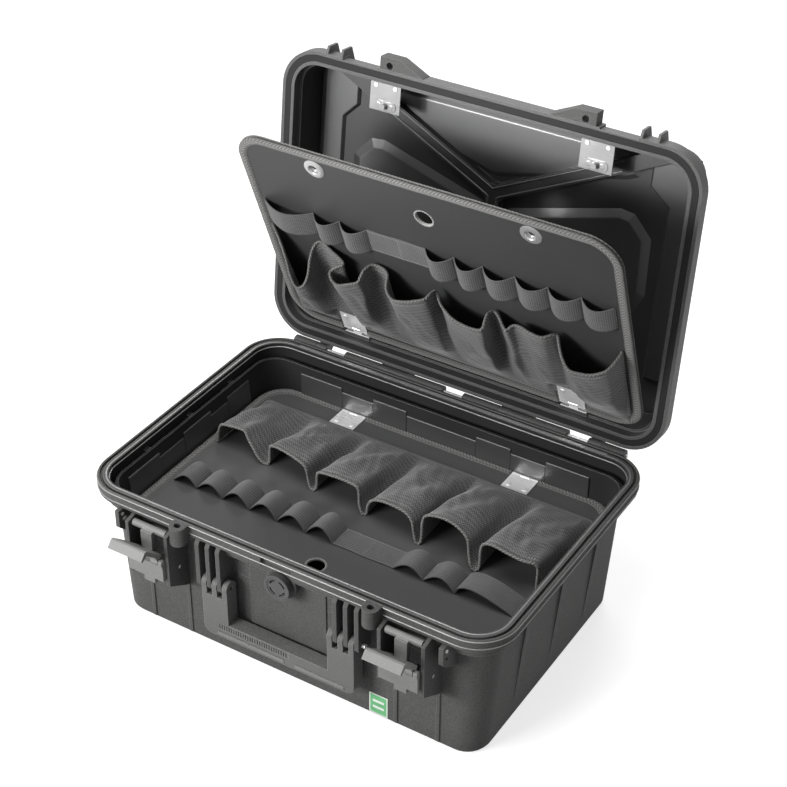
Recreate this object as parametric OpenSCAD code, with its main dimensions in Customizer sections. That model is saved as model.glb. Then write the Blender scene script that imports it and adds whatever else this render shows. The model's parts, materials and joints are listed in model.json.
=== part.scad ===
// Hard tool case with a hinged lid, two latches, a folding handle and two hinged tool boards.
// Frame: origin at the middle of the base's flat bottom, +X to the right seen from the latches,
// +Y towards the lid hinge, +Z up. The lid is shown open and its board hangs tilted out.

/* [Base] */
// Width of the rim flange
flange_w = 502; // [470:2:540]
// Depth of the rim flange
flange_d = 344; // [330:2:360]
// Height of the rim above the bottom
rim_h = 175; // [168:1:200]
// Corner radius of the rim flange
flange_r = 44; // [38:1:50]
// Height of the flange band
band_h = 15; // [12:1:18]
// How far the wall under the flange lies inside it at the sides
side_inset = 14.5; // [12:0.5:16]
// How far the wall under the flange lies inside it at the front and rear
front_inset = 20; // [19:0.5:21]
// How much narrower the bottom is than the top of the wall
side_draft = 22; // [10:1:30]
// Corner radius of the bottom
bottom_r = 27; // [22:1:32]
// Wall thickness
wall = 3; // [2.5:0.1:3.5]

/* [Lid] */
// Angle the lid stands open from closed
lid_open = 97; // [80:1:100]
// How much further the lid flange reaches than the base flange on each side
lid_over = 2; // [1:0.5:3]
// Height of the lid above its rim
lid_h = 55; // [50:1:70]
// Height of the lid's flange band
lid_band_h = 15; // [12:1:16]
// Gap between the closed rims
rim_gap = 0.4; // [0.3:0.1:1]
// Diameter of the hinge rod
rod_d = 4; // [3:0.5:5]
// How far each end of the hinge rod lies inside the side of the flange
rod_in = 33; // [31:1:40]

/* [Tool boards] */
// How far each side edge of a board lies inside the side of the bottom
board_side_gap = 7.5; // [6.5:0.5:14]
// Gap between a board's free edge and the wall in front of it
board_front_gap = 5.9; // [4.9:0.2:14.9]
// Thickness of the board panel
board_t = 3; // [2:0.5:4]
// Corner radius of the board
board_r = 28; // [20:1:34]
// Distance of the base board's top face below the rim
board_drop = 55; // [53:1:65]
// Angle the lid board is tilted out of the lid
board_tilt = 28; // [20:1:30]
// Height of the stowed lid board's hinge above the base rim
lid_board_rise = 9.4; // [8:0.2:12]
// Distance of each hinge bracket from the side edge of the base board
base_bracket_in = 105; // [70:1:125]
// Distance of each hinge bracket from the side edge of the lid board
lid_bracket_in = 77; // [70:1:125]
// Distance of each eyelet from the side edge of the board
eyelet_side = 90; // [80:1:105]
// Distance of each eyelet from the free edge of the board
eyelet_in = 14.2; // [13.2:0.2:26.2]
// Radius of the eyelet's hole
eyelet_r = 5; // [4.5:0.1:6]
// Distance of the finger hole from the free edge of the board
finger_in = 41.2; // [34.2:0.5:54.2]
// Radius of the finger hole
finger_r = 11; // [9:0.5:13]
// Number of pockets on a board
pocket_n = 6; // [3:1:8]
// Distance of the pocket mouths from the hinge
pocket_top = 148; // [120:1:160]
// Depth of a pocket at its mouth
pocket_depth = 27; // [14:1:28]
// Distance of the loop row from the hinge
loop_v = 178; // [172:1:190]
// Width of the loop webbing
loop_h = 30; // [20:1:36]
// Height of a loop above the board
loop_rise = 8; // [5:0.5:10]
// Width of one narrow loop
loop_w = 36; // [34:0.5:37]

/* [Handle] */
// Distance of the handle's middle hinge fin from the latch beside it
fin_in = 70.6; // [65:0.2:77]
// Distance from one hinge fin to the next
fin_pitch = 13; // [12:0.5:14]
// Thickness of a hinge fin
fin_t = 5; // [4:0.5:5.5]
// Thickness of a handle knuckle
knuckle_t = 6; // [5:0.5:6.5]
// Distance of the handle's and latches' pivots below the rim
pivot_drop = 68; // [65:1:73]
// Distance of the handle pivot in front of the wall
handle_pivot_out = 15; // [14:0.5:16]
// Distance from the handle's pivot to the bottom of its grip
handle_drop = 66; // [60:1:72]
// Height of the grip bar
grip_h = 20; // [16:1:24]
// Thickness of the handle from front to back
handle_t = 17; // [15:0.5:18]
// Diameter of the handle pins
handle_pin_d = 5; // [4:0.5:6]
// Furthest angle the handle swings out
handle_swing = 90; // [70:5:95]

/* [Latches] */
// Distance of each latch from the side of the flange
latch_in = 96; // [94:1:99]
// Clear width between a latch bracket's side walls
latch_gap = 46; // [44:0.5:48]
// Thickness of a bracket side wall
cheek_t = 4; // [3:0.5:5]
// How far the bracket walls stand out from the case wall
bracket_out = 33; // [32:0.5:34]
// Diameter of the latch pins
latch_pin_d = 4; // [3:0.5:5]
// Diameter of the claw's cross bar
claw_bar_d = 8; // [7:0.5:9]
// Width of the claw's neck
claw_neck_w = 14; // [12:0.5:16]
// Furthest lift of the claw out of its carrier
claw_lift = 38; // [37:0.5:39]
// Angle the lever stands out above level
lever_rest = 42; // [35:1:45]
// Length of the lever from its pivot
lever_l = 39; // [34:1:40]

/* [Valve and lugs] */
// Diameter of the vent knob
valve_d = 30; // [26:1:34]
// Distance of the vent's middle below the rim
valve_drop = 36; // [35:1:39]
// Distance of each padlock eye from the latch beside it
eye_in = 38; // [37:0.5:40]
// Diameter of the padlock eyes
eye_d = 8; // [6:0.5:9]
// Distance of each strap lug from the side of the flange
lug_in = 54; // [51:1:59]
// Diameter of the strap lug's hole
lug_hole_d = 8; // [6:0.5:10]

/* [Clearances] */
// Radial clearance of a running pin
run_gap = 0.05; // [0.02:0.01:0.1]
// Gap between parts that slide past each other
slide_gap = 0.4; // [0.3:0.05:0.8]
// Gap between a soft part and its neighbour
soft_gap = 0.3; // [0.3:0.05:0.6]

/* [Hidden] */
$fn = 48;
hull_fn = 32;
eps = 0.01;
shell_grey = [0.26, 0.26, 0.255];
inner_grey = [0.16, 0.16, 0.17];
latch_grey = [0.42, 0.42, 0.41];
steel = [0.72, 0.72, 0.7];
cloth = [0.2, 0.2, 0.2];
tape = [0.3, 0.29, 0.27];

// base walls: outer faces under the flange and at the bottom
top_w = flange_w - 2 * side_inset;
bottom_w = top_w - side_draft;
body_d = flange_d - 2 * front_inset;
body_r = flange_r - side_inset;
front_y = -body_d / 2;
flange_front_y = -flange_d / 2;
band_z = rim_h - band_h;
pivot_z = rim_h - pivot_drop;
valve_z = rim_h - valve_drop;
board_z = rim_h - board_drop;
latch_x = flange_w / 2 - latch_in;
lug_x = flange_w / 2 - lug_in;
eye_x = latch_x - eye_in;
fin_x = latch_x - fin_in;
// inside of the rim, the sealing tongue and the shelf under it
tongue_in = 11.7;
tongue_w = 6;
groove_depth = 4;
lip_w = 2.2;
shelf_z = band_z - 10;
shelf_t = 3;
rim_in_w = flange_w - 2 * tongue_in;
rim_in_d = flange_d - 2 * tongue_in;
base_in_d = body_d - 2 * wall;
// neck under the flange, in front of the wall
neck_ring_y = -rim_in_d / 2 - wall;
neck_ring_z = shelf_z - shelf_t;

// lid in its closed place
lid_w = flange_w + 2 * lid_over;
lid_d = flange_d + 2 * lid_over;
lid_r = flange_r + lid_over;
lid_z = rim_h + rim_gap;
lid_body_in = side_inset - 1;
lid_top_z = rim_h + lid_h;
lid_lip_w = 4;
seal_w = 7.5;
seal_depth = 8;
lid_skirt_in = lid_lip_w + seal_w + 1 + wall;
lid_hollow_in = lid_skirt_in + 3;
lid_seat_y = lid_d / 2 - lid_hollow_in - 1.2;
hinge_y = flange_d / 2 + 7;
hinge_z = rim_h - 4.5;
knuckle_r = 6.3;
rod_r = rod_d / 2;
rod_l = flange_w - 2 * rod_in;
// hinge knuckles on each side of the middle, as [centre, width], set out inwards from the rod's end
wide_knuckle = 46;
lid_knuckle = 40;
end_knuckle = 30;
narrow_knuckle = 14;
knuckle_x3 = rod_l / 2 - 3 - end_knuckle / 2;
knuckle_pitch = 78;
knuckle_x2 = knuckle_x3 - knuckle_pitch;
knuckle_x1 = knuckle_x2 - wide_knuckle - lid_knuckle;
base_knuckles = [[knuckle_x1, wide_knuckle], [knuckle_x2, wide_knuckle], [knuckle_x3, end_knuckle]];
lid_knuckles = [[knuckle_x2 - (wide_knuckle + lid_knuckle) / 2, lid_knuckle],
    [knuckle_x3 - (end_knuckle + narrow_knuckle) / 2, narrow_knuckle]];

// board hinges
leaf_t = 1.2;
leaf_w = 32;
leaf_l = 28;
leaf_knuckle_r = 2.6;
leaf_pin_r = 1.2;
leaf_mid_w = 11;
panel_gap = 0.6;
leaf_screw_v = 12;
leaf_screw_x = 9;
leaf_plate_h = 20;
rivet_x = 10;
lobe_pitch = 9;
panel_top = 1;
base_board_y = base_in_d / 2 - leaf_knuckle_r - soft_gap;
base_board_z = board_z - panel_top;
board_w = bottom_w - 2 * board_side_gap;
board_d = base_in_d - 2 * leaf_knuckle_r - soft_gap - panel_gap - board_front_gap;
board_end_v = leaf_knuckle_r + panel_gap + board_d;
eyelet_v = board_end_v - eyelet_in;
finger_v = board_end_v - finger_in;
base_bracket_x = board_w / 2 - base_bracket_in;
lid_bracket_x = board_w / 2 - lid_bracket_in;
eyelet_x = board_w / 2 - eyelet_side;
lid_board_y = base_board_y + 0.6;
lid_board_z = rim_h + lid_board_rise;
binding_w = 9;
binding_t = 0.8;
trim_w = 4;
eyelet_flange = 3;
rivet_r = 2.6;
loop_count = 11;
wide_loop = board_w - 2 * binding_w - 10 * loop_w;
pocket_bottom = 40;
pocket_x = board_w / 2 - binding_w - 3;
pocket_wall = 1.5;
rest_t = 5;
rest_edge = 6;
front_rest_x = board_w / 2 - 68;
side_rest_y = board_d / 2 - 63;
side_rib_y = body_d / 2 - 75;
side_rib_t = 7;
side_rib_out = 3;

// front fittings
handle_y = front_y - handle_pivot_out;
handle_pin_r = handle_pin_d / 2;
knuckle_off = fin_pitch / 2;
handle_out = fin_x + knuckle_off + knuckle_t / 2;
leg_in = fin_x - fin_pitch - knuckle_off - knuckle_t / 2;
handle_knuckle_r = handle_t / 2;
handle_front = handle_y - handle_knuckle_r + 0.5;
handle_back = handle_y + handle_knuckle_r;
grip_z = pivot_z - handle_drop;
fin_front = flange_front_y - 3;
fin_foot_z = pivot_z - 9;
rib_t = 0.8;

bracket_front = front_y - bracket_out;
bracket_foot_z = pivot_z - 34;
latch_y = front_y - 15.5;
latch_pin_r = latch_pin_d / 2;
latch_clear = 0.6;
carrier_w = latch_gap - 2 * latch_clear;
bar_r = claw_bar_d / 2;
bar_y = flange_front_y - bar_r - 1.5;
bar_z = band_z - bar_r - 2;
neck_back = flange_front_y - 8.2;
neck_t = 5;
neck_front = neck_back - neck_t;
neck_foot = pivot_z - 19;
skirt_top = pivot_z + 12;
skirt_foot = pivot_z - 7.5;
skirt_t = 4.2;
skirt_front = neck_front - slide_gap - skirt_t;
lever_y = skirt_front + 1.5;
lever_hub_r = 3.5;
lever_z = skirt_top + lever_hub_r + 0.9;
lever_stub_r = 2;
lever_w = carrier_w - 1;
lever_offset = 4;
lever_t = 4.5;
lip_l = 12;
ear_w = 4.4;
// the lid's ledge under each claw bar
catch_w = latch_gap - 3;
catch_h = rim_h + 11 - lid_z;

front_panel_w = 94;
skirt_gap = valve_d / 2 + 4;
front_panel_z = pivot_z - 54;
valve_r = valve_d / 2;
valve_front = flange_front_y;
valve_boss_y = -rim_in_d / 2 - wall - 0.2;
valve_seat_y = valve_boss_y + 6;
valve_spigot_r = valve_r - 4;
valve_seal_t = 1;
lug_t = 5;
lug_out = 28;
lug_h = 27;
lug_hole_y = front_y - lug_out + 9;
lug_hole_z = band_z - lug_h + 12;
lug_pin_r = 2;
eye_clear = 1;
eye_boss_wall = 5;
eye_boss_r = eye_d / 2 + eye_boss_wall;
eye_y = -lid_d / 2 - eye_d / 2 - eye_clear;
eye_h = band_h + 7;

// rectangle with round corners, drawn from squares and circles
module round_rect(w, d, r) {
    square([w - 2 * r, d], center = true);
    square([w, d - 2 * r], center = true);
    for (x = [-1, 1], y = [-1, 1]) translate([x * (w / 2 - r), y * (d / 2 - r)]) circle(r);
}

// ring between two round rectangles, inset from the same outline
module inset_ring(w, d, r, outer, inner) {
    difference() {
        round_rect(w - 2 * outer, d - 2 * outer, r - outer);
        round_rect(w - 2 * inner, d - 2 * inner, r - inner);
    }
}

// plain block standing on the given low corner and reaching the high corner
module block(low, high) {
    translate(low) cube(high - low);
}

// cylinder along X
module rod(x0, x1, y, z, r) {
    translate([x0, y, z]) rotate([0, 90, 0]) cylinder(r = r, h = x1 - x0);
}

// side profile given as [y, z] points, extruded along X
module side_plate(x0, x1, points) {
    translate([x0, 0, 0]) rotate([90, 0, 90]) linear_extrude(x1 - x0) polygon(points);
}

// tapering box with round corners, from its bottom outline to its top outline
module draft_box(w0, d0, r0, z0, w1, d1, r1, z1) {
    hull() {
        for (x = [-1, 1], y = [-1, 1]) {
            translate([x * (w0 / 2 - r0), y * (d0 / 2 - r0), z0]) cylinder(r = r0, h = eps, $fn = hull_fn);
            translate([x * (w1 / 2 - r1), y * (d1 / 2 - r1), z1 - eps]) cylinder(r = r1, h = eps,
                $fn = hull_fn);
        }
    }
}

// puts a part drawn in the closed lid's place where the open lid holds it
module open_lid() {
    translate([0, hinge_y, hinge_z]) rotate([-lid_open, 0, 0]) translate([0, -hinge_y, -hinge_z]) children();
}

// board frames: drawn with the hinge along X at the origin, the board towards -Y and its face up
module at_base_board() {
    translate([0, base_board_y, base_board_z]) children();
}
module at_lid_board() {
    open_lid() translate([0, lid_board_y, lid_board_z]) rotate([board_tilt, 0, 0]) rotate([0, 180, 0])
        children();
}

// ---------- base ----------
module base_tub() {
    difference() {
        union() {
            draft_box(bottom_w - 6, body_d - 6, bottom_r - 3, 0, bottom_w, body_d, bottom_r, 4);
            draft_box(bottom_w, body_d, bottom_r, 4 - eps, top_w, body_d, body_r, band_z);
        }
        draft_box(bottom_w - 2 * wall, base_in_d, bottom_r - wall, wall,
            top_w - 2 * wall, base_in_d, body_r - wall, band_z + 1);
    }
}

module rim_flange() {
    difference() {
        union() {
            translate([0, 0, band_z]) linear_extrude(band_h) round_rect(flange_w, flange_d, flange_r);
            translate([0, 0, shelf_z - shelf_t]) linear_extrude(band_h)
                round_rect(flange_w - 2 * tongue_in + 2 * wall, flange_d - 2 * tongue_in + 2 * wall,
                    flange_r - tongue_in + wall);
        }
        // opening inside the tongue
        translate([0, 0, shelf_z]) linear_extrude(rim_h) round_rect(rim_in_w, rim_in_d, flange_r - tongue_in);
        // hollow of the tub below the shelf
        translate([0, 0, shelf_z - shelf_t - 1]) linear_extrude(shelf_t + 2)
            round_rect(top_w - 2 * wall, base_in_d, body_r - wall);
        // groove between the outer lip and the tongue
        translate([0, 0, rim_h - groove_depth]) linear_extrude(groove_depth + 1)
            inset_ring(flange_w, flange_d, flange_r, lip_w, tongue_in - tongue_w);
    }
}

// plates that stand on the front wall under the flange, drilled for the handle's pins
module base_handle_fins() {
    color(shell_grey) for (side = [-1, 1], i = [-1, 0, 1]) {
        x = side * fin_x + i * fin_pitch;
        difference() {
            side_plate(x - fin_t / 2, x + fin_t / 2,
                [[front_y, fin_foot_z], [handle_y, fin_foot_z], [fin_front + 4, fin_foot_z + 1],
                 [fin_front, fin_foot_z + 6], [fin_front, band_z - 4], [flange_front_y, band_z],
                 [neck_ring_y, band_z],
                 [neck_ring_y, neck_ring_z], [front_y, neck_ring_z]]);
            rod(x - fin_t, x + fin_t, handle_y, pivot_z, handle_pin_r + run_gap);
        }
    }
}

// side walls of each latch bracket, drilled for the latch pin
module base_latch_brackets() {
    color(shell_grey) for (side = [-1, 1], edge = [-1, 1]) {
        x = side * latch_x + edge * (latch_gap + cheek_t) / 2;
        difference() {
            side_plate(x - cheek_t / 2, x + cheek_t / 2,
                [[front_y, bracket_foot_z], [front_y - 4, bracket_foot_z + 1], [bracket_front, pivot_z - 15],
                 [bracket_front, band_z - 3], [flange_front_y, band_z], [neck_ring_y, band_z],
                 [neck_ring_y, neck_ring_z], [front_y, neck_ring_z]]);
            rod(x - cheek_t, x + cheek_t, latch_y, pivot_z, latch_pin_r + run_gap);
        }
    }
}

// ribs that carry on down the wall below the latch brackets
module bracket_ribs() {
    for (side = [-1, 1], edge = [-1, 1]) {
        x = side * latch_x + edge * (latch_gap + cheek_t) / 2;
        block([x - cheek_t / 2, front_y - 1.6, 5], [x + cheek_t / 2, front_y + 1, bracket_foot_z]);
    }
}

module base_strap_lugs() {
    color(shell_grey) for (side = [-1, 1]) {
        x = side * lug_x;
        difference() {
            side_plate(x - lug_t / 2, x + lug_t / 2,
                [[front_y, band_z - lug_h - 14], [front_y - lug_out + 6, band_z - lug_h],
                 [front_y - lug_out, band_z - lug_h + 6], [front_y - lug_out, band_z], [neck_ring_y, band_z],
                 [neck_ring_y, neck_ring_z], [front_y, neck_ring_z]]);
            rod(x - lug_t, x + lug_t, lug_hole_y, lug_hole_z, lug_hole_d / 2);
            rod(x - lug_t, x + lug_t, front_y - lug_out + 6, band_z - 6, lug_pin_r + run_gap);
        }
    }
}

// D-shaped bosses on the front of the flange
module base_padlock_bosses() {
    color(shell_grey) for (side = [-1, 1]) difference() {
        union() {
            translate([side * eye_x, eye_y, rim_h - eye_h]) cylinder(r = eye_boss_r, h = eye_h - 0.2);
            block([side * eye_x - eye_boss_r, eye_y, rim_h - eye_h],
                [side * eye_x + eye_boss_r, flange_front_y, rim_h - 0.2]);
        }
        block([side * eye_x - 20, flange_front_y, rim_h - eye_h - 1],
            [side * eye_x + 20, flange_front_y + 20, rim_h + 1]);
        translate([side * eye_x, eye_y, rim_h - eye_h - 1]) cylinder(d = eye_d, h = eye_h + 2);
    }
}

module base_hinge_knuckles() {
    color(shell_grey) for (side = [-1, 1], k = base_knuckles) {
        x0 = side * k[0] - k[1] / 2;
        difference() {
            union() {
                rod(x0, x0 + k[1], hinge_y, hinge_z, knuckle_r);
                block([x0, flange_d / 2, hinge_z - knuckle_r], [x0 + k[1], hinge_y, hinge_z]);
            }
            rod(x0 - 1, x0 + k[1] + 1, hinge_y, hinge_z, rod_r + run_gap);
        }
    }
}

// outer face of the side wall at a height
function wall_x(z) = bottom_w / 2 + side_draft / 2 * (z - 4) / (band_z - 4);

// profile in x and z on both sides of the case, w thick along Y
module side_profile(y, w, points) {
    for (side = [0, 180])
        rotate([0, 0, side]) translate([0, y + w / 2, 0]) rotate([90, 0, 0]) linear_extrude(w)
            polygon(points);
}

// posts along the walls that the base board rests on
module base_board_rests() {
    top = board_z - board_t - binding_t - soft_gap;
    rest_x = board_w / 2 - rest_edge;
    foot_x = bottom_w / 2 - wall;
    top_x = foot_x + side_draft / 2 * (top - wall) / (band_z + 1 - wall) - 0.1;
    color(shell_grey) {
        for (k = [-1, -1 / 3, 1 / 3, 1]) {
            x = k * front_rest_x;
            block([x - rest_t / 2, -base_in_d / 2, wall],
                [x + rest_t / 2, board_front_gap + rest_edge - base_in_d / 2, top]);
        }
        for (y = [-side_rest_y, 0, side_rest_y])
            side_profile(y, rest_t, [[rest_x, wall], [foot_x - 0.1, wall], [top_x, top], [rest_x, top]]);
    }
}

// ribs down the outside of the end walls
module side_ribs() {
    low_z = 20;
    high_z = band_z - 25;
    for (y = [-side_rib_y, 0, side_rib_y])
        side_profile(y, side_rib_t, [[wall_x(low_z) - 1, low_z], [wall_x(low_z), low_z],
            [wall_x(high_z) + side_rib_out, high_z], [wall_x(band_z) + side_rib_out, band_z + 1],
            [wall_x(band_z) - 1, band_z + 1]]);
}

module base_shell() {
    color(shell_grey) difference() {
        union() {
            base_tub();
            rim_flange();
            bracket_ribs();
            side_ribs();
            // raised panel behind the handle
            block([-front_panel_w / 2, front_y - 1.6, front_panel_z], [front_panel_w / 2, front_y + 1,
                band_z + 1]);
            // boss behind the vent knob
            translate([0, front_y + 1, valve_z]) rotate([90, 0, 0])
                cylinder(r = valve_r + 3, h = front_y + 1 - valve_boss_y);
        }
        // gap in the flange skirt in front of the vent
        block([-skirt_gap, flange_front_y - 20, band_z - 1], [skirt_gap, flange_front_y + 5, rim_h - 3]);
        // vent seat and air hole
        translate([0, valve_seat_y, valve_z]) rotate([90, 0, 0]) cylinder(r = valve_spigot_r, h = 20);
        translate([0, front_y + wall + 1, valve_z]) rotate([90, 0, 0]) cylinder(r = 3, h = wall + 10);
    }
}

module base_label() {
    label_w = 22;
    label_h = 27;
    label_x = latch_x - 57;
    label_z = 4.5;
    color([0.2, 0.55, 0.3]) block([label_x, front_y - 0.4, label_z], [label_x + label_w, front_y,
        label_z + label_h]);
}

module valve_body() {
    disc_y = valve_boss_y - valve_seal_t;
    color(shell_grey) difference() {
        union() {
            translate([0, valve_seat_y, valve_z]) rotate([90, 0, 0])
                cylinder(r = valve_spigot_r - run_gap, h = valve_seat_y - disc_y + 1);
            translate([0, disc_y, valve_z]) rotate([90, 0, 0]) cylinder(r = valve_r,
                h = disc_y - valve_front);
        }
        translate([0, valve_front + 3, valve_z]) rotate([90, 0, 0]) cylinder(r = valve_r - 3, h = 10);
        for (a = [45:90:315]) translate([0, 0, valve_z]) rotate([0, a, 0])
            translate([0, valve_seat_y + 1, valve_r - 6]) rotate([90, 0, 0]) cylinder(r = 1, h = 20);
    }
}

module valve_cap() {
    color(inner_grey) difference() {
        translate([0, valve_front + 3, valve_z]) rotate([90, 0, 0]) cylinder(r = valve_r - 3 - run_gap,
            h = 2.4);
        translate([0, valve_front + 4, valve_z]) rotate([90, 0, 0]) for (a = [0:90:270])
            rotate([0, 0, a + 16]) rotate_extrude(angle = 58) translate([valve_r - 7, 0]) square([2, 8]);
    }
}

module valve_seal() {
    color([0.05, 0.05, 0.05]) translate([0, valve_boss_y, valve_z]) rotate([90, 0, 0]) difference() {
        cylinder(r = valve_r - 1, h = valve_seal_t);
        translate([0, 0, -1]) cylinder(r = valve_spigot_r, h = valve_seal_t + 2);
    }
}

module hinge_rod() {
    color(steel) rod(-rod_l / 2, rod_l / 2, hinge_y, hinge_z, rod_r);
}

module handle_pins() {
    color(steel) for (side = [-1, 1])
        rod(side * fin_x - fin_pitch - 6, side * fin_x + fin_pitch + 6, handle_y, pivot_z, handle_pin_r);
}

module latch_pins() {
    half = latch_gap / 2 + cheek_t;
    color(steel) for (side = [-1, 1])
        rod(side * latch_x - half, side * latch_x + half, latch_y, pivot_z, latch_pin_r);
}

module lug_pins() {
    color(steel) for (side = [-1, 1])
        rod(side * lug_x - lug_t / 2 - 1, side * lug_x + lug_t / 2 + 1, front_y - lug_out + 6,
            band_z - 6, lug_pin_r);
}

// ---------- board hinges ----------
module leaf_knuckles(x0, x1, hole) {
    difference() {
        rod(x0, x1, 0, 0, leaf_knuckle_r);
        rod(x0 - 1, x1 + 1, 0, 0, hole);
    }
}

module base_board_leaves() {
    plate_y = base_in_d / 2 - base_board_y;
    color(steel) at_base_board() for (side = [-1, 1]) translate([side * base_bracket_x, 0, 0]) difference() {
        union() {
            leaf_knuckles(-leaf_mid_w / 2, leaf_mid_w / 2, 0.1);
            block([-leaf_mid_w / 2, plate_y - leaf_t, -4], [leaf_mid_w / 2, plate_y, 0]);
            block([-leaf_w / 2, plate_y - leaf_t, -leaf_plate_h], [leaf_w / 2, plate_y, -3.6]);
        }
        rod(-leaf_w, leaf_w, 0, 0, leaf_pin_r + run_gap);
        for (x = [-leaf_screw_x, leaf_screw_x]) translate([x, plate_y + 1, -leaf_screw_v]) rotate([90,
            0, 0]) cylinder(r = 1.6, h = leaf_t + 2);
    }
}

module base_leaf_screws() {
    plate_y = base_in_d / 2 - base_board_y;
    color(steel) at_base_board() for (side = [-1, 1], x = [-leaf_screw_x, leaf_screw_x])
        translate([side * base_bracket_x + x, plate_y - leaf_t, -leaf_screw_v]) rotate([90, 0, 0])
            cylinder(r = 2.6, h = 0.9);
}

module lid_board_leaves() {
    plate_y = lid_seat_y - lid_board_y;
    color(steel) open_lid() translate([0, lid_board_y, lid_board_z]) for (side = [-1, 1])
        translate([side * lid_bracket_x, 0, 0]) difference() {
            union() {
                leaf_knuckles(-leaf_mid_w / 2, leaf_mid_w / 2, 0.1);
                block([-leaf_mid_w / 2, 0, 1.4], [leaf_mid_w / 2, plate_y, 1.4 + leaf_t]);
                block([-leaf_w / 2, plate_y - leaf_t, 1.4], [leaf_w / 2, plate_y, leaf_plate_h]);
            }
            rod(-leaf_w, leaf_w, 0, 0, leaf_pin_r + run_gap);
            for (x = [-leaf_screw_x, leaf_screw_x]) translate([x, plate_y + 1, leaf_screw_v])
                rotate([90, 0, 0]) cylinder(r = 1.6, h = leaf_t + 2);
        }
}

module lid_leaf_screws() {
    plate_y = lid_seat_y - lid_board_y;
    color(steel) open_lid() translate([0, lid_board_y, lid_board_z]) for (side = [-1, 1],
        x = [-leaf_screw_x, leaf_screw_x])
        translate([side * lid_bracket_x + x, plate_y - leaf_t, leaf_screw_v]) rotate([90, 0, 0])
            cylinder(r = 2.6, h = 0.9);
}

// ---------- lid ----------
module lid_ribs() {
    // three-armed rib on the inside of the lid, with its leg towards the hinge
    ceiling = lid_top_z - wall;
    rib_w = 16;
    rib_z = ceiling - 11;
    junction_y = -52;
    translate([0, junction_y, rib_z]) {
        for (a = [26, 154]) rotate([0, 0, -a]) translate([0, -rib_w / 2, 0]) cube([lid_w / 2, rib_w, 11 + 1]);
        translate([-rib_w / 2, 0, 0]) cube([rib_w, lid_d / 2 - 20 - junction_y, 11 + 1]);
        cylinder(r = rib_w * 0.7, h = 11 + 1);
    }
}

// outer and inner bodies of the lid as tapering boxes
module lid_outside() {
    translate([0, 0, lid_z]) linear_extrude(lid_band_h) round_rect(lid_w, lid_d, lid_r);
    lid_taper(lid_body_in, lid_z + lid_band_h - 1, lid_body_in + 4, lid_top_z - 3);
    lid_taper(lid_body_in + 4, lid_top_z - 3 - eps, lid_body_in + 7, lid_top_z);
}
module lid_taper(in0, z0, in1, z1) {
    draft_box(lid_w - 2 * in0, lid_d - 2 * in0, lid_r - in0, z0, lid_w - 2 * in1, lid_d - 2 * in1,
        lid_r - in1, z1);
}

module lid_hollow() {
    deep_z = lid_z + lid_band_h - wall;
    translate([0, 0, lid_z - 1]) linear_extrude(deep_z - lid_z + 1)
        round_rect(lid_w - 2 * lid_skirt_in, lid_d - 2 * lid_skirt_in, lid_r - lid_skirt_in);
    lid_taper(lid_hollow_in, deep_z - eps, lid_hollow_in + 2, lid_top_z - wall);
    // channel for the sealing ring
    translate([0, 0, lid_z - 1]) linear_extrude(seal_depth + 1)
        inset_ring(lid_w, lid_d, lid_r, lid_lip_w, lid_lip_w + seal_w);
}

// bosses on the lid's front band, sloping back to it on the side away from the latch
module lid_padlock_bosses() {
    color(shell_grey) open_lid() for (side = [-1, 1]) translate([0, 0, lid_z]) difference() {
        linear_extrude(lid_band_h)
            polygon([[side * (eye_x + 12), -lid_d / 2], [side * (eye_x + 12), eye_y - eye_boss_r],
                [side * (eye_x - 12), eye_y - eye_boss_r], [side * (eye_x - 42), -lid_d / 2]]);
        translate([side * eye_x, eye_y, -1]) cylinder(d = eye_d, h = lid_band_h + 2);
    }
}

// paired fins outboard of each latch
module lid_fins() {
    for (side = [-1, 1], x = [latch_x + latch_gap / 2 + 1, latch_x + latch_gap / 2 + 19.5])
        side_plate(side * x - 1.5, side * x + 1.5,
            [[1.5 - lid_d / 2, lid_z + 0.4], [-lid_d / 2 - 8, lid_z + 4], [-lid_d / 2 - 8, lid_z + 20],
             [14 - lid_d / 2, lid_z + lid_band_h + 15], [14 - lid_d / 2, lid_z + lid_band_h - 1],
             [1.5 - lid_d / 2, lid_z + lid_band_h - 1]]);
}

// pads inside the lid that carry the board's hinge leaves and clips
module lid_seats() {
    for (side = [-1, 1]) {
        block([side * lid_bracket_x - leaf_w / 2 - 1, lid_seat_y, lid_board_z + 1],
            [side * lid_bracket_x + leaf_w / 2 + 1, lid_seat_y + 4, lid_board_z + 22]);
        block([side * eyelet_x - 17, clip_end - 1, clip_z + leaf_t], [side * eyelet_x + 17,
            clip_end + 9, clip_z + 8]);
    }
}

module lid_hinge_knuckles() {
    r = knuckle_r - 0.5;
    for (side = [-1, 1], k = lid_knuckles) {
        x0 = side * k[0] - k[1] / 2;
        rod(x0, x0 + k[1], hinge_y, hinge_z, r);
        side_plate(x0, x0 + k[1],
            [[hinge_y - 1, hinge_z], [hinge_y + r, hinge_z], [hinge_y + r, lid_z + 3],
             [lid_d / 2 - 2, lid_z + lid_band_h], [lid_d / 2 - 2, lid_z + 0.2], [hinge_y - 1, lid_z + 0.2]]);
    }
}

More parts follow.
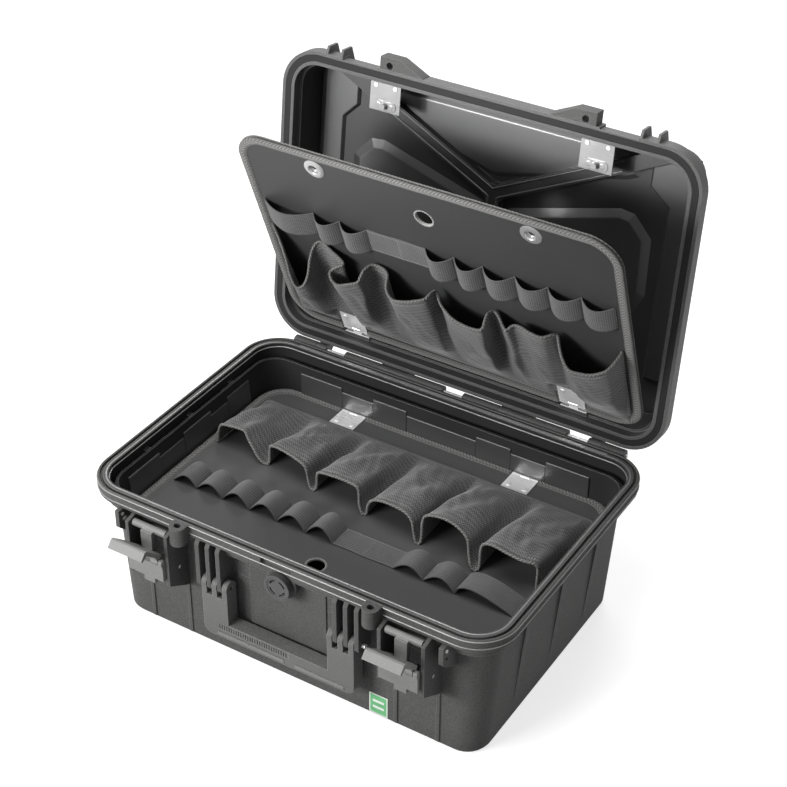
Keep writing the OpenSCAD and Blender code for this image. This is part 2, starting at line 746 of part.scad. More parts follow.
module lid_shell() {
    color(shell_grey) open_lid() difference() {
        union() {
            difference() {
                lid_outside();
                lid_hollow();
            }
            intersection() {
                lid_ribs();
                translate([0, 0, lid_z + lid_band_h]) linear_extrude(lid_h)
                    round_rect(lid_w - 2 * lid_body_in - 10, lid_d - 2 * lid_body_in - 10,
                        lid_r - lid_body_in - 4);
            }
            lid_hinge_knuckles();
            lid_fins();
            lid_seats();
        }
        for (side = [-1, 1]) {
            // catch ledge: the band is set back, and cut away above the ledge
            block([side * latch_x - catch_w / 2, -lid_d / 2 - 1, lid_z + catch_h],
                [side * latch_x + catch_w / 2, lid_body_in - 1.5 - lid_d / 2, lid_z + lid_band_h + 14]);
            block([side * latch_x - catch_w / 2, -lid_d / 2 - 1, lid_z - 1],
                [side * latch_x + catch_w / 2, lid_over - lid_d / 2, lid_z + lid_band_h + 1]);
        }
        rod(-rod_l / 2 - 1, rod_l / 2 + 1, hinge_y, hinge_z, rod_r + run_gap);
    }
}

module lid_gasket() {
    color([0.04, 0.04, 0.04]) open_lid() translate([0, 0, lid_z - 0.1]) linear_extrude(seal_depth + 0.1)
        inset_ring(lid_w, lid_d, lid_r, lid_lip_w + 0.3, lid_lip_w + seal_w - 0.3);
}

clip_z = lid_board_z + board_t + 1.6;
clip_w = 38;
clip_end = lid_hollow_in + 0.7 - lid_d / 2;
clip_screw_y = clip_end + 5;
clip_screw_x = 12;
stud_y = lid_board_y - eyelet_v;
module lid_clip_plates() {
    color(steel) open_lid() for (side = [-1, 1]) difference() {
        block([side * eyelet_x - clip_w / 2, clip_end, clip_z], [side * eyelet_x + clip_w / 2,
            stud_y + 7, clip_z + leaf_t]);
        for (x = [-clip_screw_x, clip_screw_x])
            translate([side * eyelet_x + x, clip_screw_y, clip_z - 1]) cylinder(r = 1.6, h = 4);
    }
}

// sprung stud of three lobes that the board's eyelet presses over
module lid_clip_springs() {
    color(steel) open_lid() for (side = [-1, 1]) translate([side * eyelet_x, stud_y, clip_z]) {
        for (x = [-lobe_pitch, 0, lobe_pitch]) translate([x, 0, -0.9]) cylinder(r = 0.6 * lobe_pitch,
            h = 0.9);
        translate([0, 0, -6]) cylinder(r = 3.4, h = 5.2);
    }
}

module lid_clip_screws() {
    color(steel) open_lid() for (side = [-1, 1], x = [-clip_screw_x, clip_screw_x])
        translate([side * eyelet_x + x, clip_screw_y, clip_z - 0.8]) cylinder(r = 2.4, h = 0.8);
}

// ---------- one tool board, used twice ----------
panel_y0 = -leaf_knuckle_r - panel_gap;
panel_y1 = panel_y0 - board_d;
module panel_outline(inset = 0) {
    translate([0, (panel_y0 + panel_y1) / 2]) round_rect(board_w - 2 * inset, board_d - 2 * inset,
        board_r - inset);
}

module panel(bracket_x) {
    color(inner_grey) translate([0, 0, panel_top - board_t]) difference() {
        linear_extrude(board_t) panel_outline();
        for (side = [-1, 1]) {
            translate([side * eyelet_x, -eyelet_v, -1]) cylinder(r = eyelet_r + 1, h = board_t + 2);
            for (x = [-rivet_x, rivet_x]) translate([side * bracket_x + x, -leaf_l + 7, -1])
                cylinder(r = 1.6, h = board_t + 2);
        }
        translate([0, -finger_v, -1]) cylinder(r = finger_r + 1, h = board_t + 2);
    }
}

// woven tape wrapped round the panel's edge, cut back at the hinge brackets and eyelets
module binding(bracket_x) {
    color(tape) difference() {
        for (z = [panel_top, panel_top - board_t - binding_t]) translate([0, 0, z]) linear_extrude(binding_t)
            difference() {
                panel_outline();
                panel_outline(binding_w);
            }
        for (side = [-1, 1]) {
            block([side * bracket_x - leaf_w / 2 - 1, panel_y0 - binding_w - 1, panel_top - 1],
                [side * bracket_x + leaf_w / 2 + 1, 1, panel_top + 2]);
            translate([side * eyelet_x, -eyelet_v, -6])
                cylinder(r = eyelet_r + eyelet_flange + soft_gap, h = 12);
        }
    }
}

module eyelets() {
    color(steel) for (side = [-1, 1]) translate([side * eyelet_x, -eyelet_v, panel_top - board_t])
        difference() {
        union() {
            translate([0, 0, -0.6]) cylinder(r = eyelet_r + eyelet_flange, h = 0.6);
            cylinder(r = eyelet_r + 1 - run_gap, h = board_t);
            translate([0, 0, board_t]) cylinder(r = eyelet_r + eyelet_flange, h = 0.6);
        }
        translate([0, 0, -3]) cylinder(r = eyelet_r, h = board_t + 6);
    }
}

module finger_trim() {
    color(tape) translate([0, -finger_v, panel_top - board_t]) difference() {
        union() {
            translate([0, 0, -binding_t]) cylinder(r = finger_r + trim_w, h = binding_t);
            cylinder(r = finger_r + 1 - run_gap, h = board_t);
            translate([0, 0, board_t]) cylinder(r = finger_r + trim_w, h = binding_t);
        }
        translate([0, 0, -3]) cylinder(r = finger_r, h = board_t + 6);
    }
}

module brackets(bracket_x) {
    color(steel) for (side = [-1, 1]) translate([side * bracket_x, 0, 0]) difference() {
        union() {
            block([-leaf_w / 2, -leaf_l, panel_top], [leaf_w / 2, -leaf_knuckle_r - 0.4, panel_top + leaf_t]);
            for (end = [-1, 1]) {
                x0 = end * (leaf_w + leaf_mid_w + 0.8) / 4 - (leaf_w - leaf_mid_w - 0.8) / 4;
                rod(x0, x0 + (leaf_w - leaf_mid_w - 0.8) / 2, 0, 0, leaf_knuckle_r);
                block([x0, -leaf_knuckle_r - 0.5, panel_top], [x0 + (leaf_w - leaf_mid_w - 0.8) / 2, 0,
                    panel_top + leaf_t]);
            }
        }
        rod(-leaf_w, leaf_w, 0, 0, leaf_pin_r + run_gap);
        for (x = [-rivet_x, rivet_x]) translate([x, -leaf_l + 7, panel_top - 1]) cylinder(r = 1.6,
            h = leaf_t + 2);
    }
}

module rivets(bracket_x) {
    color(steel) for (side = [-1, 1], x = [-rivet_x, rivet_x])
        translate([side * bracket_x + x, -leaf_l + 7, panel_top - board_t]) {
            cylinder(r = 1.6 - run_gap, h = board_t + leaf_t + 0.1);
            translate([0, 0, -0.7]) cylinder(r = rivet_r, h = 0.7);
            translate([0, 0, board_t + leaf_t]) cylinder(r = rivet_r, h = 0.9);
        }
}

module board_pins(bracket_x) {
    color(steel) for (side = [-1, 1])
        rod(side * bracket_x - leaf_w / 2, side * bracket_x + leaf_w / 2, 0, 0, leaf_pin_r);
}

// bellows pockets: one front sheet that slopes up from its sewn foot to the pocket mouths
pocket_floor = panel_top + soft_gap;
module pockets() {
    color(cloth) side_plate(-pocket_x, pocket_x,
        [[-pocket_bottom, pocket_floor], [-pocket_bottom, pocket_floor + pocket_wall],
         [-pocket_top, pocket_floor + pocket_depth], [-pocket_top,
             pocket_floor + pocket_depth - pocket_wall]]);
}

// seam walls under the front sheet, at both ends and between the pockets
module pocket_seams() {
    pitch = (2 * pocket_x - pocket_wall) / pocket_n;
    color(cloth) for (i = [0:pocket_n])
        side_plate(-pocket_x + i * pitch, -pocket_x + i * pitch + pocket_wall,
            [[-pocket_bottom, pocket_floor], [-pocket_top, pocket_floor + pocket_depth - pocket_wall],
             [-pocket_top, pocket_floor]]);
}

// row of elastic loops: one wide, two narrow, two stitched flat, six narrow, drawn from +X to -X
loop_widths = [wide_loop, loop_w, loop_w, loop_w, loop_w, loop_w, loop_w, loop_w, loop_w, loop_w, loop_w];
loop_flat = [false, false, false, true, true, false, false, false, false, false, false];
function loop_start(i) = i == 0 ? 0 : loop_start(i - 1) + loop_widths[i - 1];
module loops() {
    row_x = board_w / 2 - binding_w;
    floor_z = panel_top + soft_gap;
    color(cloth) for (i = [0:loop_count - 1]) {
        w = loop_widths[i] - 1;
        x = row_x - loop_start(i) - loop_widths[i] / 2;
        rise = loop_flat[i] ? 1 : loop_rise;
        translate([x, -loop_v, floor_z]) rotate([90, 0, 0]) linear_extrude(loop_h)
            polygon([[-w / 2, 0], [w / 2, 0], [w / 2, 0.6], [w / 4, rise * 0.85], [0, rise], [-w / 4,
                rise * 0.85],
                [-w / 2, 0.6]]);
    }
}

module lid_panel() at_lid_board() panel(lid_bracket_x);
module lid_binding() at_lid_board() binding(lid_bracket_x);
module lid_eyelets() at_lid_board() eyelets();
module lid_finger_trim() at_lid_board() finger_trim();
module lid_brackets() at_lid_board() brackets(lid_bracket_x);
module lid_rivets() at_lid_board() rivets(lid_bracket_x);
module lid_board_pins() at_lid_board() board_pins(lid_bracket_x);
module lid_pockets() at_lid_board() pockets();
module lid_pocket_seams() at_lid_board() pocket_seams();
module lid_loops() at_lid_board() loops();
module base_panel() at_base_board() panel(base_bracket_x);
module base_binding() at_base_board() binding(base_bracket_x);
module base_eyelets() at_base_board() eyelets();
module base_finger_trim() at_base_board() finger_trim();
module base_brackets() at_base_board() brackets(base_bracket_x);
module base_rivets() at_base_board() rivets(base_bracket_x);
module base_board_pins() at_base_board() board_pins(base_bracket_x);
module base_pockets() at_base_board() pockets();
module base_pocket_seams() at_base_board() pocket_seams();
module base_loops() at_base_board() loops();

// ---------- handle ----------
module handle() {
    color(shell_grey) difference() {
        union() {
            for (side = [-1, 1]) {
                for (k = [-1.5, -0.5, 0.5]) {
                    x = side * (fin_x + k * fin_pitch);
                    rod(x - knuckle_t / 2, x + knuckle_t / 2, handle_y, pivot_z, handle_knuckle_r);
                    block([x - knuckle_t / 2, handle_front, pivot_z - 14], [x + knuckle_t / 2, handle_back,
                        pivot_z]);
                }
                block([side > 0 ? leg_in : -handle_out, handle_front, grip_z + grip_h - 1],
                    [side > 0 ? handle_out : -leg_in, handle_back, pivot_z - 12.5]);
            }
            // grip bar with round outer corners
            translate([0, handle_back, grip_z]) rotate([90, 0, 0])
                linear_extrude(handle_back - handle_front) {
                    translate([-handle_out, grip_h / 2]) square([2 * handle_out, grip_h / 2]);
                    translate([-handle_out + grip_h / 2, 0]) square([2 * handle_out - grip_h, grip_h]);
                    for (side = [-1, 1]) translate([side * (handle_out - grip_h / 2), grip_h / 2])
                        circle(grip_h / 2);
                }
        }
        for (side = [-1, 1])
            rod(side * fin_x - 30, side * fin_x + 30, handle_y, pivot_z, handle_pin_r + run_gap);
        // seats of the ribbed strip and the plain strip
        block([-handle_out + 18, handle_front - 1, grip_z + grip_h - 9], [14, handle_front + 1,
            grip_z + grip_h - 1]);
        block([-handle_out + 18, handle_front - 1, grip_z + 3], [8, handle_front + 1, grip_z + 7]);
        block([22, handle_front - 1, grip_z + 3], [handle_out - 12, handle_front + 1, grip_z + 7]);
    }
}
module handle_rib_strip() {
    x0 = -handle_out + 18 + run_gap;
    x1 = 14 - run_gap;
    color(latch_grey) union() {
        block([x0, handle_front + 0.3, grip_z + grip_h - 9 + run_gap], [x1, handle_front + 1,
            grip_z + grip_h - 1 - run_gap]);
        for (x = [x0 + 1:3:x1 - 2])
            block([x, handle_front - rib_t, grip_z + grip_h - 8], [x + 1.4, handle_front + 0.5,
                grip_z + grip_h - 2]);
    }
}
module handle_bar_strip() {
    color(latch_grey) {
        block([-handle_out + 18 + run_gap, handle_front - rib_t, grip_z + 3 + run_gap],
            [8 - run_gap, handle_front + 1, grip_z + 7 - run_gap]);
        block([22 + run_gap, handle_front - rib_t, grip_z + 3 + run_gap],
            [handle_out - 12 - run_gap, handle_front + 1, grip_z + 7 - run_gap]);
    }
}

// ---------- latches, drawn at the middle of the case and moved to each side ----------
module latch_carrier() {
    color(latch_grey) difference() {
        union() {
            rod(-carrier_w / 2, carrier_w / 2, latch_y, pivot_z, 5);
            block([-carrier_w / 2, skirt_front, skirt_foot], [carrier_w / 2, skirt_front + skirt_t,
                skirt_top]);
            // guide block behind the skirt
            block([-claw_neck_w / 2 - 5, skirt_front + 1, skirt_foot], [claw_neck_w / 2 + 5, latch_y,
                skirt_top - 4]);
            for (side = [-1, 1]) {
                // side webs from the pivot barrel to the skirt
                block([side > 0 ? carrier_w / 2 - 3 : -carrier_w / 2, skirt_front + 1, skirt_foot],
                    [side > 0 ? carrier_w / 2 : -carrier_w / 2 + 3, latch_y, skirt_top - 4]);
                // ears that hold the lever's stub pins
                ear_x = side > 0 ? carrier_w / 2 - ear_w : -carrier_w / 2;
                rod(ear_x, ear_x + ear_w, lever_y, lever_z, lever_hub_r);
                block([ear_x, lever_y - lever_hub_r + 1, skirt_top - 1], [ear_x + ear_w,
                    lever_y + lever_hub_r, lever_z]);
            }
        }
        rod(-carrier_w, carrier_w, latch_y, pivot_z, latch_pin_r + run_gap);
        rod(-carrier_w, carrier_w, lever_y, lever_z, lever_stub_r + run_gap);
        // channel that the claw's neck slides in
        block([-claw_neck_w / 2 - slide_gap, neck_front - slide_gap, skirt_foot - 20],
            [claw_neck_w / 2 + slide_gap, neck_back + slide_gap, skirt_top + 20]);
    }
}

module latch_claw() {
    color(latch_grey) {
        rod(-carrier_w / 2 + 1.4, carrier_w / 2 - 1.4, bar_y, bar_z, bar_r);
        block([-claw_neck_w / 2, neck_front, neck_foot], [claw_neck_w / 2, neck_back, bar_z]);
        side_plate(-claw_neck_w / 2, claw_neck_w / 2,
            [[neck_front, bar_z - 8], [neck_front, bar_z - 2], [neck_front + 4, bar_z + 1], [bar_y,
                bar_z + bar_r - 1],
             [bar_y, bar_z - bar_r + 1], [neck_back, bar_z - 8]]);
    }
}

// lever: hub, plate lifted off the pivot line, and a lip turned down at its free end
module latch_lever() {
    hub_w = lever_w - 2 * ear_w - 0.8;
    slot_w = claw_neck_w + 2 * slide_gap + 2;
    color(latch_grey) translate([0, lever_y, lever_z]) rotate([-lever_rest, 0, 0]) difference() {
        union() {
            rod(-hub_w / 2, hub_w / 2, 0, 0, lever_hub_r);
            rod(-carrier_w / 2, carrier_w / 2, 0, 0, lever_stub_r);
            // plate: runs outward along -Y, on the upper side of the hub
            side_plate(-hub_w / 2, hub_w / 2,
                [[2, 0], [2, lever_offset + lever_t], [-10, lever_offset + lever_t], [-10,
                    lever_offset - 1], [-3, 0]]);
            side_plate(-lever_w / 2, lever_w / 2,
                [[-9, lever_offset], [-9, lever_offset + lever_t], [-lever_l, lever_offset + lever_t],
                 [-lever_l - 2, lever_offset + lever_t - 2], [-lever_l - 2, lever_offset + lever_t - lip_l],
                 [-lever_l + 1, lever_offset + lever_t - lip_l], [-lever_l + 4, lever_offset]]);
        }
        // slot for the claw's neck
        block([-slot_w / 2, -12, -8], [slot_w / 2, 12, 20]);
    }
}

module at_latch(side) translate([side * latch_x, 0, 0]) children();
module left_latch_carrier() at_latch(-1) latch_carrier();
module left_latch_claw() at_latch(-1) latch_claw();
module left_latch_lever() at_latch(-1) latch_lever();
module right_latch_carrier() at_latch(1) latch_carrier();
module right_latch_claw() at_latch(1) latch_claw();
module right_latch_lever() at_latch(1) latch_lever();

base_shell();
base_handle_fins();
base_latch_brackets();
base_strap_lugs();
base_padlock_bosses();
base_hinge_knuckles();
base_label();
valve_body();
valve_cap();
valve_seal();
hinge_rod();
handle_pins();
latch_pins();
lug_pins();
base_board_rests();
base_board_leaves();
base_leaf_screws();
lid_shell();
lid_padlock_bosses();
lid_gasket();
lid_clip_plates();
lid_clip_springs();
lid_clip_screws();
lid_board_leaves();
lid_leaf_screws();
lid_panel();
lid_binding();
lid_eyelets();
lid_finger_trim();
lid_brackets();
lid_rivets();
lid_board_pins();
lid_pockets();
lid_pocket_seams();
lid_loops();
base_panel();
base_binding();
base_eyelets();
base_finger_trim();
base_brackets();
base_rivets();
base_board_pins();
base_pockets();
base_pocket_seams();
base_loops();
handle();
handle_rib_strip();
handle_bar_strip();
left_latch_carrier();
left_latch_claw();
left_latch_lever();
right_latch_carrier();
right_latch_claw();
right_latch_lever();
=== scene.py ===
import bpy, bmesh, math, json
from mathutils import Vector, Matrix, noise


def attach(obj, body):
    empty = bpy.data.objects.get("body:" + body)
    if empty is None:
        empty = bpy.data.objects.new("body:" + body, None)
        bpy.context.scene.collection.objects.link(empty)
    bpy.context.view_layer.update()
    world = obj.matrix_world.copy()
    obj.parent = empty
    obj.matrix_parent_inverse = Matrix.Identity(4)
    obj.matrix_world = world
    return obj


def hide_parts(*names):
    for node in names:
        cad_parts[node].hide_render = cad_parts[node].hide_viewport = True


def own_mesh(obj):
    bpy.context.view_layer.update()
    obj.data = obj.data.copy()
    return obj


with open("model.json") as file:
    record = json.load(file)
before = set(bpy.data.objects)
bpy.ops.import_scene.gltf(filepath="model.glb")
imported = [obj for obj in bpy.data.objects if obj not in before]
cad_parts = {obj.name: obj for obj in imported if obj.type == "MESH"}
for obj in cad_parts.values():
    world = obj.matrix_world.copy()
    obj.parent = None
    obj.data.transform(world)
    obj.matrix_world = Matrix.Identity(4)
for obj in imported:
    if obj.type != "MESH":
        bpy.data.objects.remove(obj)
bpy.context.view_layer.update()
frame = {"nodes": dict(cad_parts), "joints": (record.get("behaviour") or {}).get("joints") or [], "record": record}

nodes = frame["nodes"]
joints = {j["name"]: j for j in frame["joints"]}
slotOf = {s["node"]: s["material_slot"] for s in frame["record"]["subparts"]}
mm = 0.001
zUp = Vector((0, 0, 1))
lidAxis = tuple(joints["lid_hinge"]["pos_m"])
lidOpen = math.radians(97)      # how far the lid stands open at rest
print("frame loaded:", len(nodes), "nodes")


cameraSet = {
    "turn": 31.72, "rise": 34.77, "distance": 2.1438,      # degrees and metres, round the target
    "target": (-0.0900, 0.1955, 0.1292),
    "roll": 0.34, "sensor": 36,
    "focal": 1829.69, "pixels": 787,      # focal length and frame width, both in pixels
}


def makeCamera(c):
    turn, rise = math.radians(c["turn"]), math.radians(c["rise"])
    back = Vector((math.sin(turn) * math.cos(rise), -math.cos(turn) * math.cos(rise), math.sin(rise)))
    data = bpy.data.cameras.new("camera")
    data.sensor_width = c["sensor"]
    data.lens = c["focal"] * c["sensor"] / c["pixels"]
    cam = bpy.data.objects.new("camera", data)
    bpy.context.scene.collection.objects.link(cam)
    side = zUp.cross(back).normalized()
    up = back.cross(side)
    roll = math.radians(c["roll"])
    right = side * math.cos(roll) + up * math.sin(roll)
    top = -side * math.sin(roll) + up * math.cos(roll)
    place = Matrix((right, top, back)).transposed().to_4x4()
    place.translation = Vector(c["target"]) + back * c["distance"]
    cam.matrix_world = place
    bpy.context.scene.camera = cam


studioSet = {
    "floorSize": 9, "floorTone": 0.46, "floorRough": 0.9, "floorShine": 0.1,
    "floorGlow": 0.72,      # what the camera and gloss see on top of the floor's own tone
    "worldLight": 0.27,
    "lamps": {      # place and aim in metres, size in metres, power in watts
        "frontLight": ((-0.75, -1.55, 0.80), (0.0, 0.0, 0.22), (0.9, 0.6), 40),
        "topLight": ((-0.35, -0.15, 2.1), (0, 0, 0.1), (1.4, 1.2), 35),
        "backLight": ((-0.5, 1.5, 1.6), (0, 0.15, 0.2), (1.2, 0.6), 20),
        "sideLight": ((1.9, -0.1, 1.1), (0, 0.1, 0.3), (0.8, 1.2), 2),
    },
    # a narrow lamp over the board's top edge, into the top of the lid
    "lidLight": {
        "place": (-0.78, -1.55, 0.86), "aim": (0.02, 0.25, 0.50), "power": 210, "cone": 15, "size": 0.16,
    },
}


def hangLamp(name, data, place, aim):
    lamp = bpy.data.objects.new(name, data)
    bpy.context.scene.collection.objects.link(lamp)
    lamp.location = place
    lamp.visible_camera = False
    lamp.rotation_euler = (Vector(aim) - Vector(place)).to_track_quat("-Z", "Y").to_euler()


def areaLight(name, place, aim, size, power):
    data = bpy.data.lights.new(name, "AREA")
    data.shape = "RECTANGLE"
    data.size, data.size_y = size
    data.energy = power
    hangLamp(name, data, place, aim)


def spotLight(name, s):
    data = bpy.data.lights.new(name, "SPOT")
    data.energy = s["power"]
    data.spot_size = math.radians(s["cone"])
    data.spot_blend = 1.0
    data.shadow_soft_size = s["size"]
    hangLamp(name, data, s["place"], s["aim"])


def emptyTree(owner):
    owner.use_nodes = True
    owner.node_tree.nodes.clear()
    return owner.node_tree


def fill(node, **values):      # fixed values for a node's sockets, an underscore for each space
    for key, value in values.items():
        node.inputs[key.replace("_", " ")].default_value = value
    return node


def cameraMix(tree, plain, seen, out):      # plain for the light, seen for the camera and for gloss
    path = tree.nodes.new("ShaderNodeLightPath")
    either = tree.nodes.new("ShaderNodeMath")
    either.operation = "MAXIMUM"
    mix = tree.nodes.new("ShaderNodeMixShader")
    tree.links.new(path.outputs["Is Camera Ray"], either.inputs[0])
    tree.links.new(path.outputs["Is Glossy Ray"], either.inputs[1])
    tree.links.new(either.outputs[0], mix.inputs[0])
    tree.links.new(plain, mix.inputs[1])
    tree.links.new(seen, mix.inputs[2])
    tree.links.new(mix.outputs[0], out.inputs[0])


def makeFloor(s):
    bpy.ops.object.select_all(action="DESELECT")
    bpy.ops.mesh.primitive_plane_add(size=s["floorSize"], location=(0, 0, 0))
    floor = bpy.context.object
    floor.name = "floor"
    mat = bpy.data.materials.new("paleFloor")
    tree = emptyTree(mat)
    out = tree.nodes.new("ShaderNodeOutputMaterial")
    tone = s["floorTone"]
    plain = fill(tree.nodes.new("ShaderNodeBsdfPrincipled"), Base_Color=(tone, tone, tone, 1),
                 Roughness=s["floorRough"], Specular_IOR_Level=s["floorShine"])
    glow = fill(tree.nodes.new("ShaderNodeEmission"), Strength=s["floorGlow"])
    both = tree.nodes.new("ShaderNodeAddShader")
    tree.links.new(plain.outputs[0], both.inputs[0])
    tree.links.new(glow.outputs[0], both.inputs[1])
    cameraMix(tree, plain.outputs[0], both.outputs[0], out)
    floor.data.materials.append(mat)


def makeWorld(s):
    world = bpy.data.worlds.new("studio")
    bpy.context.scene.world = world
    tree = emptyTree(world)
    out = tree.nodes.new("ShaderNodeOutputWorld")
    soft, white = [fill(tree.nodes.new("ShaderNodeBackground"), Color=(1, 1, 1, 1), Strength=strength)
                   for strength in (s["worldLight"], 1)]
    cameraMix(tree, soft.outputs[0], white.outputs[0], out)


makeCamera(cameraSet)
makeFloor(studioSet)
makeWorld(studioSet)
for name, lamp in studioSet["lamps"].items():
    areaLight(name, *lamp)
spotLight("lidLight", studioSet["lidLight"])
bpy.context.scene.view_settings.view_transform = "Standard"
print("studio ready")


class Maker:      # one material and short ways to add nodes to it
    def __init__(self, name):
        self.mat = bpy.data.materials.new(name)
        self.tree = emptyTree(self.mat)
        self.out = self.node("OutputMaterial")
        self.body = self.node("BsdfPrincipled")
        self.link(self.body.outputs[0], self.out.inputs[0])

    def node(self, kind, **values):
        n = self.tree.nodes.new("ShaderNode" + kind)
        for key, value in values.items():
            setattr(n, key, value)
        return n

    def link(self, source, socket):
        self.tree.links.new(source, socket)

    def math(self, operation, *feeds):
        n = self.node("Math", operation=operation)
        for socket, feed in zip(n.inputs, feeds):
            if isinstance(feed, (int, float)):
                socket.default_value = feed
            else:
                self.link(feed, socket)
        return n.outputs[0]

    def place(self, kind="Object"):
        return self.node("TexCoord").outputs[kind]

    def split(self, vector):
        n = self.node("SeparateXYZ")
        self.link(vector, n.inputs[0])
        return n.outputs

    def noise(self, vector, scale, detail=3, rough=0.5):
        n = fill(self.node("TexNoise"), Scale=scale, Detail=detail, Roughness=rough)
        self.link(vector, n.inputs["Vector"])
        return n.outputs["Fac"]

    def mixed(self, a, b, share):
        return self.math("ADD", self.math("MULTIPLY", a, 1 - share), self.math("MULTIPLY", b, share))

    def ramp(self, value, low, high, start=0.3, end=0.7):
        n = self.node("ValToRGB")
        for stop, place, tone in zip(n.color_ramp.elements, (start, end), (low, high)):
            stop.position = place
            stop.color = (*tone, 1)
        self.link(value, n.inputs[0])
        return n.outputs[0]

    def spread(self, value, low, high):
        n = fill(self.node("MapRange"), To_Min=low, To_Max=high)
        self.link(value, n.inputs["Value"])
        return n.outputs[0]

    def lerp(self, share, a, b):
        return self.math("ADD", self.math("MULTIPLY", a, self.math("SUBTRACT", 1.0, share)),
                         self.math("MULTIPLY", b, share))

    def blend(self, share, a, b):      # two colours
        n = self.node("Mix", data_type="RGBA")
        self.link(share, n.inputs[0])
        self.link(a, n.inputs[6])
        self.link(b, n.inputs[7])
        return n.outputs[2]

    def colour(self, value, low, high, start=0.3, end=0.7):
        self.link(self.ramp(value, low, high, start, end), self.body.inputs["Base Color"])

    def rough(self, value, low, high):
        self.link(self.spread(value, low, high), self.body.inputs["Roughness"])

    def bump(self, value, depth, strength=0.7):
        n = fill(self.node("Bump"), Strength=strength, Distance=depth)
        self.link(value, n.inputs["Height"])
        self.link(n.outputs[0], self.body.inputs["Normal"])


def shades(tone, spread, tint=(1, 1, 1)):
    return [tuple(tone * (1 + k * spread) * t for t in tint) for k in (-1, 1)]


innerFaces = {      # where the shells' inside look ends, in metres: half width, half depth, corner radius; the inside's darker tone is partly its own smoother plastic and partly painted shade
    "lid": (0.2368, 0.1575, 0.030), "lidTop": 0.2286,
    "tub": (0.224, 0.1504, 0.0268), "tubLean": 0.0705, "tubFloor": 0.0028,
    "rim": (0.2400, 0.1610, 0.033), "rimLow": 0.1485,
    # tone: the inside colour, darker partly for real and partly as painted shade
    "tone": 0.023, "spread": 0.12, "tint": (1, 1, 1.01), "rough": (0.36, 0.46), "smoother": -0.8,
}


def withinRound(m, x, y, halfX, halfY, radius):      # 1 inside a rectangle with round corners
    overX = m.math("MAXIMUM", m.math("SUBTRACT", x, halfX - radius), 0.0)
    overY = m.math("MAXIMUM", m.math("SUBTRACT", y, halfY - radius), 0.0)
    square = m.math("ADD", m.math("MULTIPLY", overX, overX), m.math("MULTIPLY", overY, overY))
    return m.math("LESS_THAN", square, radius * radius)


def insideMask(m, half, s):
    at = m.place()
    if half == "lid":      # turned back to where the lid is when shut
        turn = fill(m.node("VectorRotate", rotation_type="X_AXIS"), Center=lidAxis, Angle=lidOpen)
        m.link(at, turn.inputs["Vector"])
        at = turn.outputs[0]
    x, y, z = m.split(at)
    x, y = m.math("ABSOLUTE", x), m.math("ABSOLUTE", y)
    if half == "lid":
        return m.math("MULTIPLY", withinRound(m, x, y, *s["lid"]), m.math("LESS_THAN", z, s["lidTop"]))
    lean = m.math("SUBTRACT", x, m.math("MULTIPLY", z, s["tubLean"]))
    tub = withinRound(m, lean, y, *s["tub"])
    rim = m.math("MULTIPLY", withinRound(m, x, y, *s["rim"]), m.math("GREATER_THAN", z, s["rimLow"]))
    return m.math("MULTIPLY", m.math("MAXIMUM", tub, rim), m.math("GREATER_THAN", z, s["tubFloor"]))


mouldSet = {
    "cloud": (9, 4, 0.6), "fineShare": 0.7, "bump": 0.7,      # slow change of tone: scale, detail, roughness
    "highlightFrom": 0.97, "highlightGain": 4, "highlightPale": 3.0,      # painted highlight: edges made pale where the soft normal turns away
}


def moulded(name, tone, tint=(1, 1, 1), grain=760, depth=0.0007, rough=(0.48, 0.62), spread=0.38,
            specular=0.16, half=None, edge=0.0011, edgeHighlight=0.9):
    m, s = Maker(name), mouldSet
    at = m.place()
    fine, cloud = m.noise(at, grain, 2, 0.6), m.noise(at, *s["cloud"])
    colour = m.ramp(m.mixed(cloud, fine, s["fineShare"]), *shades(tone, spread, tint))
    shine = m.spread(cloud, *rough)
    bumps = fill(m.node("Bump"), Strength=s["bump"], Distance=depth)
    if half:
        inner = innerFaces
        mask = insideMask(m, half, inner)
        # inside the mask the plastic turns darker: partly its own colour, partly painted shade
        colour = m.blend(mask, colour, m.ramp(cloud, *shades(inner["tone"], inner["spread"], inner["tint"])))
        shine = m.lerp(mask, shine, m.spread(cloud, *inner["rough"]))
        fine = m.math("MULTIPLY", fine, m.math("MULTIPLY_ADD", mask, inner["smoother"], 1))
    # painted highlight: a pale colour along the edges, where the soft normal turns from the true one, stands in
    # for light on rounded edges
    if edge:
        soft = fill(m.node("Bevel", samples=4), Radius=edge)
        m.link(soft.outputs[0], bumps.inputs["Normal"])
        turned = m.node("VectorMath", operation="DOT_PRODUCT")
        m.link(soft.outputs[0], turned.inputs[0])
        m.link(m.node("NewGeometry").outputs["True Normal"], turned.inputs[1])
        highlightMask = m.math("SUBTRACT", s["highlightFrom"], turned.outputs["Value"])
        highlightMask = m.math("MULTIPLY", highlightMask, edgeHighlight * s["highlightGain"])
        highlightMask = m.math("MINIMUM", m.math("MAXIMUM", highlightMask, 0.0), edgeHighlight)
        pale = [min(1.0, tone * s["highlightPale"] * t) for t in tint]
        colour = m.blend(highlightMask, colour, m.ramp(fine, pale, pale))
    m.link(fine, bumps.inputs["Height"])
    m.link(bumps.outputs[0], m.body.inputs["Normal"])
    m.link(colour, m.body.inputs["Base Color"])
    m.link(shine, m.body.inputs["Roughness"])
    fill(m.body, Specular_IOR_Level=specular)
    return m.mat


weaveSet = {
    "cloud": (45, 4, 0.6), "fuzz": (1500, 2, 0.7), "fuzzShare": 0.35, "cloudShare": 0.25,
    "rib": 0.0062, "bend": (11, 2, 0.5), "bendBy": 26,      # ripples across the cloth, bent by slow noise
}


